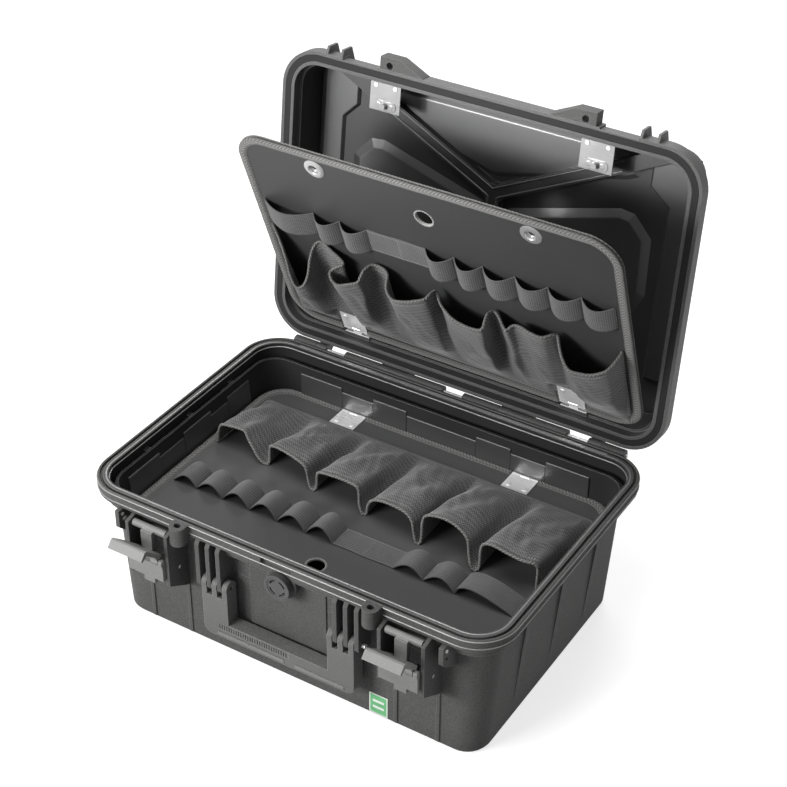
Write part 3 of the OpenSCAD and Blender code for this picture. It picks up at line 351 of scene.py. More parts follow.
def woven(name, tone, pitch, depth, tint=(1, 1, 1), spread=0.3, diagonal=False, ripple=0.0):
    m, s = Maker(name), weaveSet
    u, v, _ = m.split(m.place("UV"))
    cloud = m.noise(m.place(), *s["cloud"])
    if diagonal:
        u, v = m.math("ADD", u, v), m.math("SUBTRACT", u, v)
    turn = 2 * math.pi / pitch
    over, under = [m.math("SINE", m.math("MULTIPLY", way, turn)) for way in (u, v)]
    weave = m.math("MULTIPLY_ADD", m.math("MULTIPLY", over, under), 0.5, 0.5)
    fuzz = m.noise(m.place(), *s["fuzz"])
    value = m.mixed(m.mixed(weave, fuzz, s["fuzzShare"]), cloud, s["cloudShare"])
    if ripple:
        ribs = m.math("MULTIPLY", v, 2 * math.pi / s["rib"])
        bent = m.math("MULTIPLY_ADD", m.noise(m.place("UV"), *s["bend"]), s["bendBy"], ribs)
        value = m.mixed(value, m.math("MULTIPLY_ADD", m.math("SINE", bent), 0.5, 0.5), ripple)
    m.colour(value, *shades(tone, spread, tint), 0.25, 0.75)
    m.rough(cloud, 0.75, 0.9)
    m.bump(m.mixed(weave, fuzz, 0.3), depth, 0.9)
    fill(m.body, Specular_IOR_Level=0.28, Sheen_Weight=0.25, Sheen_Roughness=0.45)
    return m.mat


def herringbone(name, tone, tint, pitch, rib, depth):
    m = Maker(name)
    u, v, _ = m.split(m.place("UV"))
    zig = m.math("PINGPONG", v, rib)
    slant = m.math("ADD", u, m.math("MULTIPLY", zig, 1.1))
    cord = m.math("SINE", m.math("MULTIPLY", slant, 2 * math.pi / pitch))
    cord = m.math("MULTIPLY_ADD", cord, 0.5, 0.5)
    seam = m.math("SMOOTH_MIN", m.math("MULTIPLY", zig, 1 / rib * 2), 1.0, 0.4)
    fuzz = m.noise(m.place(), 2200, 2, 0.7)
    value = m.mixed(m.math("MULTIPLY", cord, seam), fuzz, 0.35)
    m.colour(value, *shades(tone, 0.45, tint), 0.15, 0.75)
    m.rough(fuzz, 0.75, 0.92)
    m.bump(value, depth, 1.0)
    fill(m.body, Specular_IOR_Level=0.25, Sheen_Weight=0.2, Sheen_Roughness=0.5)
    return m.mat


def brushed(name, tone, rough=(0.22, 0.36)):
    m = Maker(name)
    at = m.place()
    stretch = fill(m.node("Mapping"), Scale=(60, 1200, 1200))      # fine lines along x
    m.link(at, stretch.inputs["Vector"])
    lines = m.noise(stretch.outputs[0], 1.0, 2, 0.5)
    cloud = m.noise(at, 30, 3, 0.5)
    m.colour(m.mixed(lines, cloud, 0.5), *shades(tone, 0.08))
    m.rough(m.mixed(lines, cloud, 0.6), *rough)
    m.bump(lines, 0.00003, 0.35)
    fill(m.body, Metallic=0.55, Specular_IOR_Level=0.6)
    return m.mat


labelSet = {      # a plain green film with a pale frame and two pale bars; low and high corner in metres
    "low": (0.098, 0.0045), "high": (0.120, 0.0315), "border": 0.0012,
    "barHalf": 0.0068, "barOff": 0.0042, "barThick": 0.0016,
    "green": (0.10, 0.36, 0.15), "greenRange": (0.85, 1.15),
    "pale": (0.62, 0.66, 0.60), "paleRange": (0.94, 1.06),
}


def printed(name, s):
    m = Maker(name)
    at = m.place()
    x, _, z = m.split(at)
    (midX, halfX), (midZ, halfZ) = [((a + b) / 2, (b - a) / 2) for a, b in zip(s["low"], s["high"])]
    offX = m.math("ABSOLUTE", m.math("SUBTRACT", x, midX))
    offZ = m.math("ABSOLUTE", m.math("SUBTRACT", z, midZ))
    border = m.math("MAXIMUM", m.math("GREATER_THAN", offX, halfX - s["border"]),
                    m.math("GREATER_THAN", offZ, halfZ - s["border"]))
    bars = m.math("MULTIPLY", m.math("LESS_THAN", offX, s["barHalf"]),
                  m.math("COMPARE", offZ, s["barOff"], s["barThick"]))
    cloud = m.noise(at, 120, 3, 0.6)
    green, pale = [m.ramp(cloud, *[tuple(c * k for c in s[tone]) for k in s[tone + "Range"]])
                   for tone in ("green", "pale")]
    m.link(m.blend(m.math("MAXIMUM", border, bars), green, pale), m.body.inputs["Base Color"])
    m.rough(cloud, 0.26, 0.36)
    m.bump(m.noise(at, 700, 2, 0.5), 0.00002, 0.4)
    fill(m.body, Specular_IOR_Level=0.5)
    return m.mat


moulding, smallPart = (1, 1, 0.985), (1, 1, 0.98)      # slightly warm greys of the moulded parts
boardFace = {
    "tint": (1, 1, 1.01), "grain": 900, "depth": 0.00008, "rough": (0.42, 0.52), "spread": 0.16, "edge": 0,
}
finishes = {
    "shell": moulded("shellPlastic", 0.062, moulding),
    # painted light: the base shell is the lid's plastic made lighter, to make up for the shade on its front under
    # the rim
    "shellBaseLightened": moulded("shellPlasticBaseLightened", 0.076, moulding, specular=0.05, half="base"),
    "shellLid": moulded("shellPlasticLid", 0.049, moulding, specular=0.5, half="lid"),
    # the inside finish: smooth plastic whose dark tone is partly its own and partly painted shade
    "inside": moulded("shellInside", innerFaces["tone"], innerFaces["tint"], grain=1800, depth=0.00008,
                      rough=innerFaces["rough"], spread=innerFaces["spread"], specular=0.95,
                      edge=0.0013, edgeHighlight=0.7),
    # painted light and shade: both boards are one material; the base board's face is painted lighter and the lid
    # board's darker, for the light each gets
    "inner_board": moulded("boardFace", 0.064, **boardFace),
    "lidBoard": moulded("lidBoardFaceDarkened", 0.036, **boardFace),
    "pocket_cloth": woven("pocketCloth", 0.082, 0.0036, 0.0004, spread=0.95, ripple=0.12),
    "loop_webbing": woven("loopWebbing", 0.074, 0.0046, 0.0004, spread=0.65, diagonal=True),
    "binding_tape": herringbone("bindingTape", 0.120, (1, 0.985, 0.96), 0.0042, 0.0045, 0.0009),
    "thread": moulded("thread", 0.24, (1, 0.99, 0.97), grain=3000, depth=0.0001, rough=(0.7, 0.8), edge=0),
    "steel": brushed("brightSteel", 0.86),
    "clipSteel": brushed("clipSteel", 0.34),
    "seal": moulded("sealRubber", 0.012, grain=900, depth=0.00005, rough=(0.5, 0.6), spread=0.1, edge=0.0005,
                    edgeHighlight=0.15),
    "latch_plastic": moulded("latchPlastic", 0.128, smallPart, grain=1600, depth=0.00012,
                             rough=(0.42, 0.54), specular=0.4, edge=0.0005),
    "trim": moulded("trimPlastic", 0.12, smallPart, grain=1600, depth=0.00010, rough=(0.4, 0.5),
                    edge=0.0004),
    # painted highlight: a pale, glossy plastic for beads that stand in for bright lines of light along the rim
    "paintedRimHighlight": moulded("paintedRimHighlight", 0.17, (1, 1, 0.99), grain=1600, depth=0.00005, rough=(0.22, 0.30),
                       specular=0.8, edge=0),
    "label": printed("labelFilm", labelSet),
    "handle": moulded("handlePlastic", 0.105, moulding),
}
print("finishes made:", len(finishes))


dressSet = {"weld": 0.00002, "sharp": 32}      # metres, and degrees past which an edge stays hard


def hardEdges(obj, angle):
    split = obj.modifiers.new("split", "EDGE_SPLIT")
    split.split_angle = math.radians(angle)


def dress(name, finish, s):
    obj = nodes[name]
    obj.data.materials.clear()
    obj.data.materials.append(finish)
    for face in obj.data.polygons:
        face.use_smooth = True
    weld = obj.modifiers.new("weld", "WELD")
    weld.merge_threshold = s["weld"]
    hardEdges(obj, s["sharp"])


softSlots = ("pocket_cloth", "loop_webbing", "binding_tape")      # these nodes are replaced below
ownFinish = {
    "base_shell": "shellBaseLightened", "lid_shell": "shellLid", "base_board_rests": "inside", "handle": "handle",
    "handle_rib_strip": "trim", "handle_bar_strip": "latch_plastic",
    "lid_panel": "lidBoard", "lid_clip_plates": "clipSteel", "lid_clip_springs": "clipSteel",
}
for name in nodes:
    slot = slotOf[name]
    if slot not in softSlots:
        dress(name, finishes[ownFinish.get(name, slot)], dressSet)
print("carried-over nodes dressed")


def openLid():      # from where a piece of the lid is when shut to where it is at rest
    axis = Vector(lidAxis)
    return Matrix.Translation(axis) @ Matrix.Rotation(-lidOpen, 4, "X") @ Matrix.Translation(-axis)


boardTilt = math.radians(28)      # how far the lid's board hangs out from the lid
boards = {
    "base": {"body": "base_board", "place": Matrix.Translation(joints["base_board_hinge"]["pos_m"])},
    "lid": {"body": "lid_board", "place": Matrix.Translation(joints["lid_board_hinge"]["pos_m"])
            @ Matrix.Rotation(boardTilt - lidOpen, 4, "X") @ Matrix.Rotation(math.pi, 4, "Y")},
}


def onBoard(board, x, v, z):      # mm: v runs up the board, z out of its face
    return boards[board]["place"] @ Vector((x * mm, -v * mm, z * mm))


def finished(name, obj, finish, body, stand=()):      # stand: the nodes it stands in for
    obj.name = name
    obj.data.name = name
    if not obj.data.materials:
        obj.data.materials.append(finishes[finish])
    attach(obj, body)
    if stand:
        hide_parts(*stand)
    return obj


def onto(board, name, obj, finish, slot, *stand):      # a piece that rides on a board
    finished(board + name, obj, finish, boards[board]["body"], [board + "_" + part for part in stand])


def fromMesh(points, faces, uvs=None, smooth=True):      # finished() gives the name
    mesh = bpy.data.meshes.new("mesh")
    mesh.from_pydata([tuple(p) for p in points], [], faces)
    if uvs:
        layer = mesh.uv_layers.new(name="flat")
        for loop in mesh.loops:
            layer.data[loop.index].uv = uvs[loop.vertex_index]
    mesh.update()
    obj = bpy.data.objects.new("mesh", mesh)
    bpy.context.scene.collection.objects.link(obj)
    bm = bmesh.new()
    bm.from_mesh(mesh)
    bmesh.ops.recalc_face_normals(bm, faces=bm.faces)
    bm.to_mesh(mesh)
    bm.free()
    for face in mesh.polygons:
        face.use_smooth = smooth
    return obj


def curveThrough(points, step):      # a smooth line through the points, then evenly spaced
    points = [Vector(p) for p in points]
    fine = []
    for i in range(len(points) - 1):
        p0, p1, p2 = points[max(i - 1, 0)], points[i], points[i + 1]
        p3 = points[min(i + 2, len(points) - 1)]
        for k in range(12):
            t = k / 12
            fine.append(0.5 * ((2 * p1) + (p2 - p0) * t + (2 * p0 - 5 * p1 + 4 * p2 - p3) * t * t
                               + (3 * p1 - p0 - 3 * p2 + p3) * t ** 3))
    fine.append(points[-1])
    return evenly(fine, step)


def evenly(line, step):
    total = sum((b - a).length for a, b in zip(line, line[1:]))
    count = max(2, round(total / step))
    out, i, done = [line[0].copy()], 0, 0.0
    for k in range(1, count):
        want = total * k / count
        while done + (line[i + 1] - line[i]).length < want:
            done += (line[i + 1] - line[i]).length
            i += 1
        part = (line[i + 1] - line[i]).length
        out.append(line[i].lerp(line[i + 1], (want - done) / part if part else 0))
    out.append(line[-1].copy())
    return out


def across(line, i, up):      # the up and side directions of a line at its point i
    ahead = (line[min(i + 1, len(line) - 1)] - line[max(i - 1, 0)]).normalized()
    up = (up - ahead * up.dot(ahead)).normalized()
    return up, ahead.cross(up)


def tubeFaces(rows, ring):      # ring: the order of the points round one row; a cap closes each end
    ring = list(ring)
    wide = len(ring)
    faces = [(i * wide + a, i * wide + b, (i + 1) * wide + b, (i + 1) * wide + a)
             for i in range(rows - 1) for a, b in zip(ring, ring[1:] + ring[:1])]
    return faces + [tuple(ring), tuple((rows - 1) * wide + k for k in reversed(ring))]


def torusFaces(around, wide, first=0):      # closed both ways
    faces = []
    for i in range(around):
        for k in range(wide):
            n, m = (i + 1) % around, (k + 1) % wide
            faces.append([first + j for j in (i * wide + k, i * wide + m, n * wide + m, n * wide + k)])
    return faces


def sweep(line, up, section):      # the section drawn along the line: points, faces and flat uvs in mm
    points, uvs, along = [], [], 0.0
    girth = [0.0]
    for a, b in zip(section, section[1:]):
        girth.append(girth[-1] + math.hypot(b[0] - a[0], b[1] - a[1]))
    for i, p in enumerate(line):
        if i:
            along += (p - line[i - 1]).length
        high, side = across(line, i, up)
        for (a, b), g in zip(section, girth):
            points.append(p + side * a + high * b)
            uvs.append((along, g))
    return points, tubeFaces(len(line), range(len(section))), uvs


def joined(parts):      # several sweeps as one, uvs in metres
    points, faces, uvs = [], [], []
    for pts, fcs, uv in parts:
        faces += [tuple(i + len(points) for i in f) for f in fcs]
        points += pts
        uvs += [(u * mm, g * mm) for u, g in uv]
    return points, faces, uvs


bindingSet = {
    "reach": 9.0, "crown": 1.5,      # the tape's width on each face and its height above it
    "over": 1.5, "lip": 0.6, "steps": 9,      # how far it stands off past the board's edge
    "corner": 28, "width": 436, "near": 3.2, "far": 289.2, "top": 1.0, "under": -2.0,      # the board
    "bracket": {"base": 113, "lid": 141}, "gap": 17,      # the tape stops this far each side of a bracket
    "wave": 0.35, "waveScale": 0.11,      # how far it wanders, and how often
}


def boardOutline(b, start, end):
    w, r = b["width"] / 2, b["corner"]
    line = [(start, b["near"])]
    corners = [(w - r, b["near"] + r, -90), (w - r, b["far"] - r, 0), (-(w - r), b["far"] - r, 90),
               (-(w - r), b["near"] + r, 180)]
    for cx, cv, first in corners:
        for k in range(19):
            a = math.radians(first + k * 5)
            line.append((cx + r * math.cos(a), cv + r * math.sin(a)))
    line.append((end, b["near"]))
    return line


def tapeSection(b):      # over the top face, round the edge, back along the under face, then inside
    reach, crown, top, under = b["reach"], b["crown"], b["top"], b["under"]
    over = [(-reach + t * (reach - b["lip"]), crown * math.sin(math.pi * (0.12 + 0.62 * t)))
            for t in [k / b["steps"] for k in range(b["steps"] + 1)]]
    mid, half = (top + under) / 2, (top - under) / 2
    edge = [(-0.4 + (b["over"] + 0.4) * math.cos(a), mid + (half + 0.75 * crown) * math.sin(a))
            for a in [math.pi / 2 - math.pi * k / 8 for k in range(1, 8)]]
    inner = [(-reach, under + 0.02), (-0.05, under + 0.02), (-0.05, top - 0.02), (-reach, top - 0.02)]
    return [(x, top + z) for x, z in over] + edge + [(x, under - z) for x, z in reversed(over)] + inner


def makeBinding(board, b):
    section, parts = tapeSection(b), []
    bracket, gap = b["bracket"][board], b["gap"]
    middle = [(-bracket + gap, b["near"]), (bracket - gap, b["near"])]
    for flat in (boardOutline(b, bracket + gap, -bracket - gap), middle):
        line = evenly([Vector((x, -v, 0)) for x, v in flat], 3)
        places = [p * b["waveScale"] for p in line]
        line = [p + Vector((noise.noise(q), noise.noise(q + Vector((9, 0, 0))), 0)) * b["wave"]
                for p, q in zip(line, places)]
        parts.append(sweep(line, zUp, section))
    points, faces, uvs = joined(parts)
    obj = fromMesh([boards[board]["place"] @ (p * mm) for p in points], faces, uvs)
    onto(board, "BoardBinding", obj, "binding_tape", "binding_tape", "binding")


for board in boards:
    makeBinding(board, bindingSet)
print("bindings made")


pocketSet = {
    "keep": 0.72,      # share of their height the pockets keep when the lid is shut on them
    "cloth": 0.9, "edge": 1.5,      # cloth thickness, radius of the bound edge
    "top": 1.0, "lift": 1.3,      # the panel's face, and the cloth's height off it
    "width": 428, "rows": 40,      # of the panel, and from the mouth down to the foot
    "even": 26,      # points of the mouth that each point of the foot is averaged over
    "twist": 0.24, "lay": 3.1,      # how deep the edge's cord is twisted, and how often
    "band": [(-4.5, -0.9), (-4.5, 0.2), (-4.0, 0.7), (4.0, 0.7), (4.5, 0.2), (4.5, -0.9)],      # foot tape
    # foot: height at each side; mouth: x, height up the board and how far out, along the bound edge
    "base": {
        "foot": (31, 31), "seed": 3.0, "puff": 0.10, "spans": [(-212, 212)], "plates": [],
        "mouth": [
            (-214, 128, 1), (-213, 127, 14), (-209, 127, 25), (-199, 128, 29), (-184, 127, 30),
            (-176, 127, 29), (-169, 130, 22), (-160, 133, 14), (-152, 135, 6), (-144, 134, 1),
            (-140, 132, 4), (-139, 132, 16), (-137, 133, 27), (-131, 134, 30), (-118, 136, 31),
            (-101, 139, 30), (-87, 142, 28), (-83, 142, 22), (-81, 142, 11), (-77, 144, 2), (-72, 145, 1),
            (-70, 142, 4), (-69, 142, 18), (-66, 143, 26), (-53, 146, 31), (-33, 147, 33), (-15, 148, 32),
            (-11, 148, 25), (-9, 150, 11), (-4, 152, 1), (0, 150, 2), (2, 150, 14), (8, 152, 24),
            (18, 154, 30), (33, 156, 33), (53, 158, 32), (63, 160, 25), (66, 161, 13), (70, 163, 2),
            (74, 162, 1), (75, 160, 8), (75, 158, 28), (78, 156, 36), (91, 155, 40), (106, 155, 40),
            (121, 157, 36), (130, 159, 28), (134, 162, 12), (140, 168, 2), (145, 169, 1), (148, 165, 4),
            (148, 163, 26), (151, 162, 34), (162, 163, 38), (180, 165, 37), (197, 166, 36), (209, 163, 35),
            (213, 161, 30), (214, 162, 18), (213, 161, 1),
        ],
    },
    "lid": {
        "foot": (14, 9), "seed": 11.0, "puff": 0.18,
        "spans": [(-212, -159), (-123, 123), (159, 212)], "plates": [-141, 141],
        "mouth": [
            (214, 157, 1), (209, 155, 5), (200, 146, 12), (192, 131, 20), (184, 113, 30), (175, 103, 36),
            (165, 108, 34), (160, 121, 27), (160, 135, 17), (159, 145, 8), (154, 152, 3), (147, 154, 2),
            (134, 149, 6), (120, 146, 11), (115, 144, 15), (122, 141, 20), (127, 138, 26), (121, 134, 33),
            (111, 134, 36), (98, 139, 34), (88, 142, 30), (87, 145, 24), (87, 147, 15), (82, 147, 5),
            (69, 146, 5), (60, 145, 11), (57, 142, 20), (53, 138, 27), (43, 136, 33), (29, 140, 34),
            (15, 144, 31), (5, 146, 26), (3, 146, 18), (1, 142, 9), (-4, 138, 14), (-11, 134, 20),
            (-28, 132, 29), (-46, 132, 33), (-62, 134, 34), (-67, 136, 31), (-65, 137, 22), (-63, 136, 12),
            (-66, 134, 5), (-74, 133, 9), (-83, 131, 17), (-89, 131, 21), (-94, 133, 14), (-103, 135, 14),
            (-116, 136, 18), (-130, 136, 19), (-138, 136, 13), (-143, 133, 8), (-150, 130, 18),
            (-158, 124, 28), (-169, 120, 36), (-182, 120, 36), (-195, 122, 34), (-207, 126, 28),
            (-211, 128, 20), (-213, 129, 12), (-214, 130, 1),
        ],
    },
}


foldSet = {      # mm
    "large": 5.2, "small": 1.4,      # height of the creases
    "hem": 32, "hemFade": 6, "hemDrop": 0.85,      # down on the panel under the tape
    # pressed flat under a bracket plate
    "plateHalf": 28, "plateTop": 41, "plateFade": 10, "plateDrop": 0.95,
}


def footHeight(x, foot, s):      # the foot may climb from one side to the other
    return foot[0] + (foot[1] - foot[0]) * (0.5 - x / s["width"])


def footLine(mouth, foot, s):      # the mouth's points spread out along the sewn foot
    count = len(mouth)
    way = 1 if mouth[-1].x > mouth[0].x else -1
    xs = []
    for i in range(count):
        near = mouth[max(0, i - s["even"]):i + s["even"] + 1]
        xs.append(sum(p.x for p in near) / len(near))
    xs[0], xs[-1] = mouth[0].x, mouth[-1].x
    out = [xs[0]]
    for i in range(1, count):
        out.append(max(out[-1] + 0.02, xs[i]) if way > 0 else min(out[-1] - 0.02, xs[i]))
    scale = (mouth[-1].x - mouth[0].x) / (out[-1] - out[0])
    out = [mouth[0].x + (x - out[0]) * scale for x in out]
    return [Vector((x, footHeight(x, foot, s), 0)) for x in out]


def pocketPoint(m, f, t, p, top, s):      # t runs from the mouth m down to the foot f
    x = m.x + (f.x - m.x) * t ** 1.3
    v = m.y + (f.y - m.y) * t
    drop = (1 - t) ** 0.92 + p["puff"] * math.sin(math.pi * t)
    swell = math.sin(math.pi * min(1, t * 1.02)) ** 0.8 if 0 < t < 0.98 else 0
    fold = noise.noise(Vector((x / 24 + v / 46, v / 70 - x / 120, p["seed"])))
    small = noise.noise(Vector((x / 9 - v / 30, v / 26, p["seed"] + 4)))
    z = m.z * drop + (fold * s["large"] + small * s["small"]) * swell * min(1, m.z / 30 * 1.3) + top
    low = top - s["hemDrop"] * min(1, max(0, (s["hem"] - v) / s["hemFade"]))
    z = max(z - top + low, low)
    for plate in p["plates"]:
        beside = min(1, max(0, (s["plateHalf"] - abs(x - plate)) / s["plateFade"]))
        near = beside * min(1, max(0, (s["plateTop"] - v) / s["plateFade"]))
        near = near * near * (3 - 2 * near)
        z = z * (1 - near) + (top - s["plateDrop"]) * near
    return Vector((x, v, z))


def stitchRow(out, line, pitch=3.0, length=2.1, width=0.65):      # adds to out's points and faces
    marks = evenly(line, pitch)
    for a, b in zip(marks, marks[1:]):
        mid, ahead = (a + b) / 2, (b - a).normalized()
        side = ahead.cross(zUp).normalized()
        start = len(out[0])
        left, right = side * width / 2 + zUp * 0.12, side * -width / 2 + zUp * 0.12
        for p in (ahead * -length / 2, left, zUp * 0.5, right, ahead * length / 2):
            out[0].append(mid + p)
        for k in range(3):
            out[1].append((start, start + k + 1, start + (k + 1) % 3 + 1))
            out[1].append((start + 4, start + (k + 1) % 3 + 1, start + k + 1))


def ropeEdge(line, up, s, sides=8):
    points, uvs, along = [], [], 0.0
    for i, p in enumerate(line):
        if i:
            along += (p - line[i - 1]).length
        high, side = across(line, i, up)
        for k in range(sides):
            a = 2 * math.pi * k / sides
            r = s["edge"] * (1 + s["twist"] * math.cos(2 * math.pi * along / s["lay"] + a))
            points.append(p + side * r * math.cos(a) + high * r * math.sin(a))
            uvs.append((along * mm, a * s["edge"] * mm))
    return points, tubeFaces(len(line), range(sides)), uvs


def placed(board, points):
    return [onBoard(board, p.x, p.y, p.z) for p in points]


def makePockets(board, s, folds):
    p = s[board]
    top = s["top"] + s["lift"]
    mouth = curveThrough([(x, v, z - 1) for x, v, z in p["mouth"]], 1.5)
    foot = footLine(mouth, p["foot"], s)
    points, uvs, along = [], [], 0.0
    for i, (m, f) in enumerate(zip(mouth, foot)):
        if i:
            along += (m - mouth[i - 1]).length
        for k in range(s["rows"] + 1):
            t = (k / s["rows"]) ** 1.15
            points.append(pocketPoint(m, f, t, p, top, folds))
            uvs.append((along * mm, (m.y - f.y) * t * mm))
    wide = s["rows"] + 1
    faces = [(i * wide + k, i * wide + k + 1, (i + 1) * wide + k + 1, (i + 1) * wide + k)
             for i in range(len(mouth) - 1) for k in range(s["rows"])]
    edge = points[::wide]
    obj = fromMesh(placed(board, points), faces, uvs)
    bpy.ops.object.select_all(action="DESELECT")
    bpy.context.view_layer.objects.active = obj
    obj.select_set(True)
    thick = obj.modifiers.new("thick", "SOLIDIFY")
    thick.thickness = s["cloth"] * mm
    thick.offset = 0
    thick.use_even_offset = False
    bpy.ops.object.modifier_apply(modifier="thick")
    onto(board, "BoardPockets", obj, "pocket_cloth", "pocket_cloth", "pockets", "pocket_seams")
    pts, fcs, uv = ropeEdge(evenly(edge, 0.8), Vector((0, 0.2, 1)), s)
    rope = fromMesh(placed(board, pts), fcs, uv)
    onto(board, "PocketEdge", rope, "binding_tape", "binding_tape")
    seams, parts = ([], []), []
    for ends in p["spans"]:
        band = evenly([Vector((x, footHeight(x, p["foot"], s) + 2, top - 0.5)) for x in ends], 6)
        parts.append(sweep(band, zUp, s["band"]))
        for shift in (-1.8, 1.8):
            stitchRow(seams, [Vector((q.x, q.y + shift, top + 0.2)) for q in band])
    pts, fcs, uv = joined(parts)
    tape = fromMesh(placed(board, pts), fcs, uv)
    onto(board, "PocketFoot", tape, "loop_webbing", "loop_webbing")
    for back in (3, 4):
        stitchRow(seams, [q + zUp * (s["cloth"] / 2) for q in points[back::wide]])
    sewn = fromMesh(placed(board, seams[0]), seams[1], smooth=False)
    onto(board, "PocketStitches", sewn, "thread", "binding_tape")
    for piece in (obj, rope, sewn):
        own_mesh(piece)


for board in boards:
    makePockets(board, pocketSet, foldSet)
print("pockets made")


loopSet = {
    "thick": 1.1, "top": 1.0, "lift": 0.4, "rows": 8, "steps": 26,
    "wave": 0.9, "sway": 0.8, "flare": 0.06,      # how uneven the webbing lies
    "seam": 0.9, "hem": 1.6, "pitch": 2.6, "stitch": 1.8,      # its stitches
    # joints: where it is sewn down across; rise and lean: each loop's height and where its crown is
    "base": {"low": 181, "high": 211, "joints": [-213, -183, -148, -112, -76, -39, -4, 33, 71, 107, 145, 212],
             "rise": [11, 13, 14, 15, 15, 15, 0, 0, 12, 12, 13], "lean": [0.55] * 10 + [0.32]},
    "lid": {"low": 168, "high": 200, "joints": [213, 149, 115, 80, 42, 8, -27, -61, -99, -137, -175, -212],
            "rise": [13, 12, 12, 0, 0, 13, 13, 13, 12, 12, 11], "lean": [0.5] * 11},
}


def makeLoops(board, s):
    p = s[board]
    floor = s["top"] + s["lift"] + s["thick"] / 2
    line = []
    for (a, b), rise, lean in zip(zip(p["joints"], p["joints"][1:]), p["rise"], p["lean"]):
        for k in range(s["steps"]):
            t = k / s["steps"]
            q = t ** (math.log(0.5) / math.log(lean))
            arch = rise * math.sin(math.pi * q) ** 0.85 if rise else 0
            line.append(Vector((a + (b - a) * t, 0, floor + arch)))
    line.append(Vector((p["joints"][-1], 0, floor)))
    line = evenly(line, 1.2)
    rows = s["rows"]
    points, uvs, along = [], [], 0.0
    half = s["thick"] / 2
    for i, c in enumerate(line):
        if i:
            along += (c - line[i - 1]).length
        ahead = (line[min(i + 1, len(line) - 1)] - line[max(i - 1, 0)]).normalized()
        up = Vector((-ahead.z, 0, ahead.x))
        up = up if up.z >= 0 else -up
        for k in range(rows + 1):
            t = k / rows
            v = p["low"] + (p["high"] - p["low"]) * t
            wave = noise.noise(Vector((c.x / 30, v / 40, 5))) * s["wave"] * min(1, (c.z - floor) / 6)
            flare = 1 + s["flare"] * (t - 0.5)
            sway = s["sway"] * noise.noise(Vector((c.x / 25, 0, 8 + (k == rows))))
            points.append(Vector((c.x, v + sway, floor + (c.z - floor) * flare + wave)) + up * half)
            uvs.append((along * mm, v * mm))
        for k in range(rows + 1):
            above = points[-(rows + 1)]
            points.append(above - up * 2 * half)
            uvs.append((along * mm, above.y * mm))
    ring = [*range(rows + 1), *reversed(range(rows + 1, 2 * (rows + 1)))]
    obj = fromMesh(placed(board, points), tubeFaces(len(line), ring), uvs)
    hardEdges(obj, 50)
    onto(board, "BoardLoops", obj, "loop_webbing", "loop_webbing", "loops")
    seams, level = ([], []), floor + half
    for x in p["joints"]:
        for side in (-s["seam"], s["seam"]):
            ends = (p["low"] + 1, p["high"] - 1)
            stitchRow(seams, [Vector((x + side, v, level)) for v in ends], s["pitch"], s["stitch"])
    flats = [(a, b) for a, b, r in zip(p["joints"], p["joints"][1:], p["rise"]) if not r]
    for ends in flats:
        for v in (p["low"] + s["hem"], p["high"] - s["hem"]):
            stitchRow(seams, [Vector((x, v, level)) for x in ends], s["pitch"], s["stitch"])
    sewn = fromMesh(placed(board, seams[0]), seams[1], smooth=False)
    onto(board, "LoopStitches", sewn, "thread", "binding_tape")


for board in boards:
    makeLoops(board, loopSet)
print("loops made")


ringSet = {
    "side": 128, "place": 275, "hole": 5.0, "flange": 12.4, "rise": 1.7, "top": 1.0, "under": -2.0,
    "around": 40,
}


def makeEyelets(board, s):
    hole, flange, top, under, crown = s["hole"], s["flange"], s["top"], s["under"], s["top"] + s["rise"]
    shape = [(hole, under - 0.4), (hole, top + 0.2), (hole + 0.9, crown), (hole + 1.9, crown + 0.35),
             (flange - 1.4, top + 0.9), (flange - 0.3, top + 0.7), (flange, top + 0.1),
             (flange - 0.5, top - 0.2), (hole + 1.0, top - 0.2), (hole + 1.0, under), (flange, under),
             (flange, under - 0.5)]
    points, faces, around = [], [], s["around"]
    for side in (-1, 1):
        first = len(points)
        for i in range(around):
            a = 2 * math.pi * i / around
            for r, z in shape:
                x, v = side * s["side"] + r * math.cos(a), s["place"] + r * math.sin(a)
                points.append(onBoard(board, x, v, z))
        faces += torusFaces(around, len(shape), first)
    obj = fromMesh(points, faces)
    hardEdges(obj, 50)
    onto(board, "EyeletRings", obj, "clipSteel", "steel", "eyelets")


for board in boards:
    makeEyelets(board, ringSet)
print("eyelets made")


holeSet = {
    "place": 248, "inner": 9.6, "outer": 12.6, "stitches": 26,
    "thin": 0.62, "level": -0.5, "high": 2.3,      # how thin it gets, where its middle is, how high it is
}


def makeHoleTrim(board, s):      # a thick thread round the hole, thinner between its stitches
    around, ring = s["stitches"] * 8, 8
    mid, half = (s["inner"] + s["outer"]) / 2, (s["outer"] - s["inner"]) / 2
    points = []
    for i in range(around):
        a = 2 * math.pi * i / around
        swell = s["thin"] + (1 - s["thin"]) * abs(math.cos(a * s["stitches"] / 2)) ** 0.7
        for k in range(ring):
            b = 2 * math.pi * k / ring
            r = mid + half * swell * math.cos(b) - half * (1 - swell) * 0.5
            high = s["level"] + s["high"] * swell * math.sin(b)
            points.append(onBoard(board, r * math.cos(a), s["place"] + r * math.sin(a), high))
    obj = fromMesh(points, torusFaces(around, ring))
    onto(board, "FingerHoleEdge", obj, "thread", "binding_tape", "finger_trim")


for board in boards:
    makeHoleTrim(board, holeSet)
print("finger holes edged")


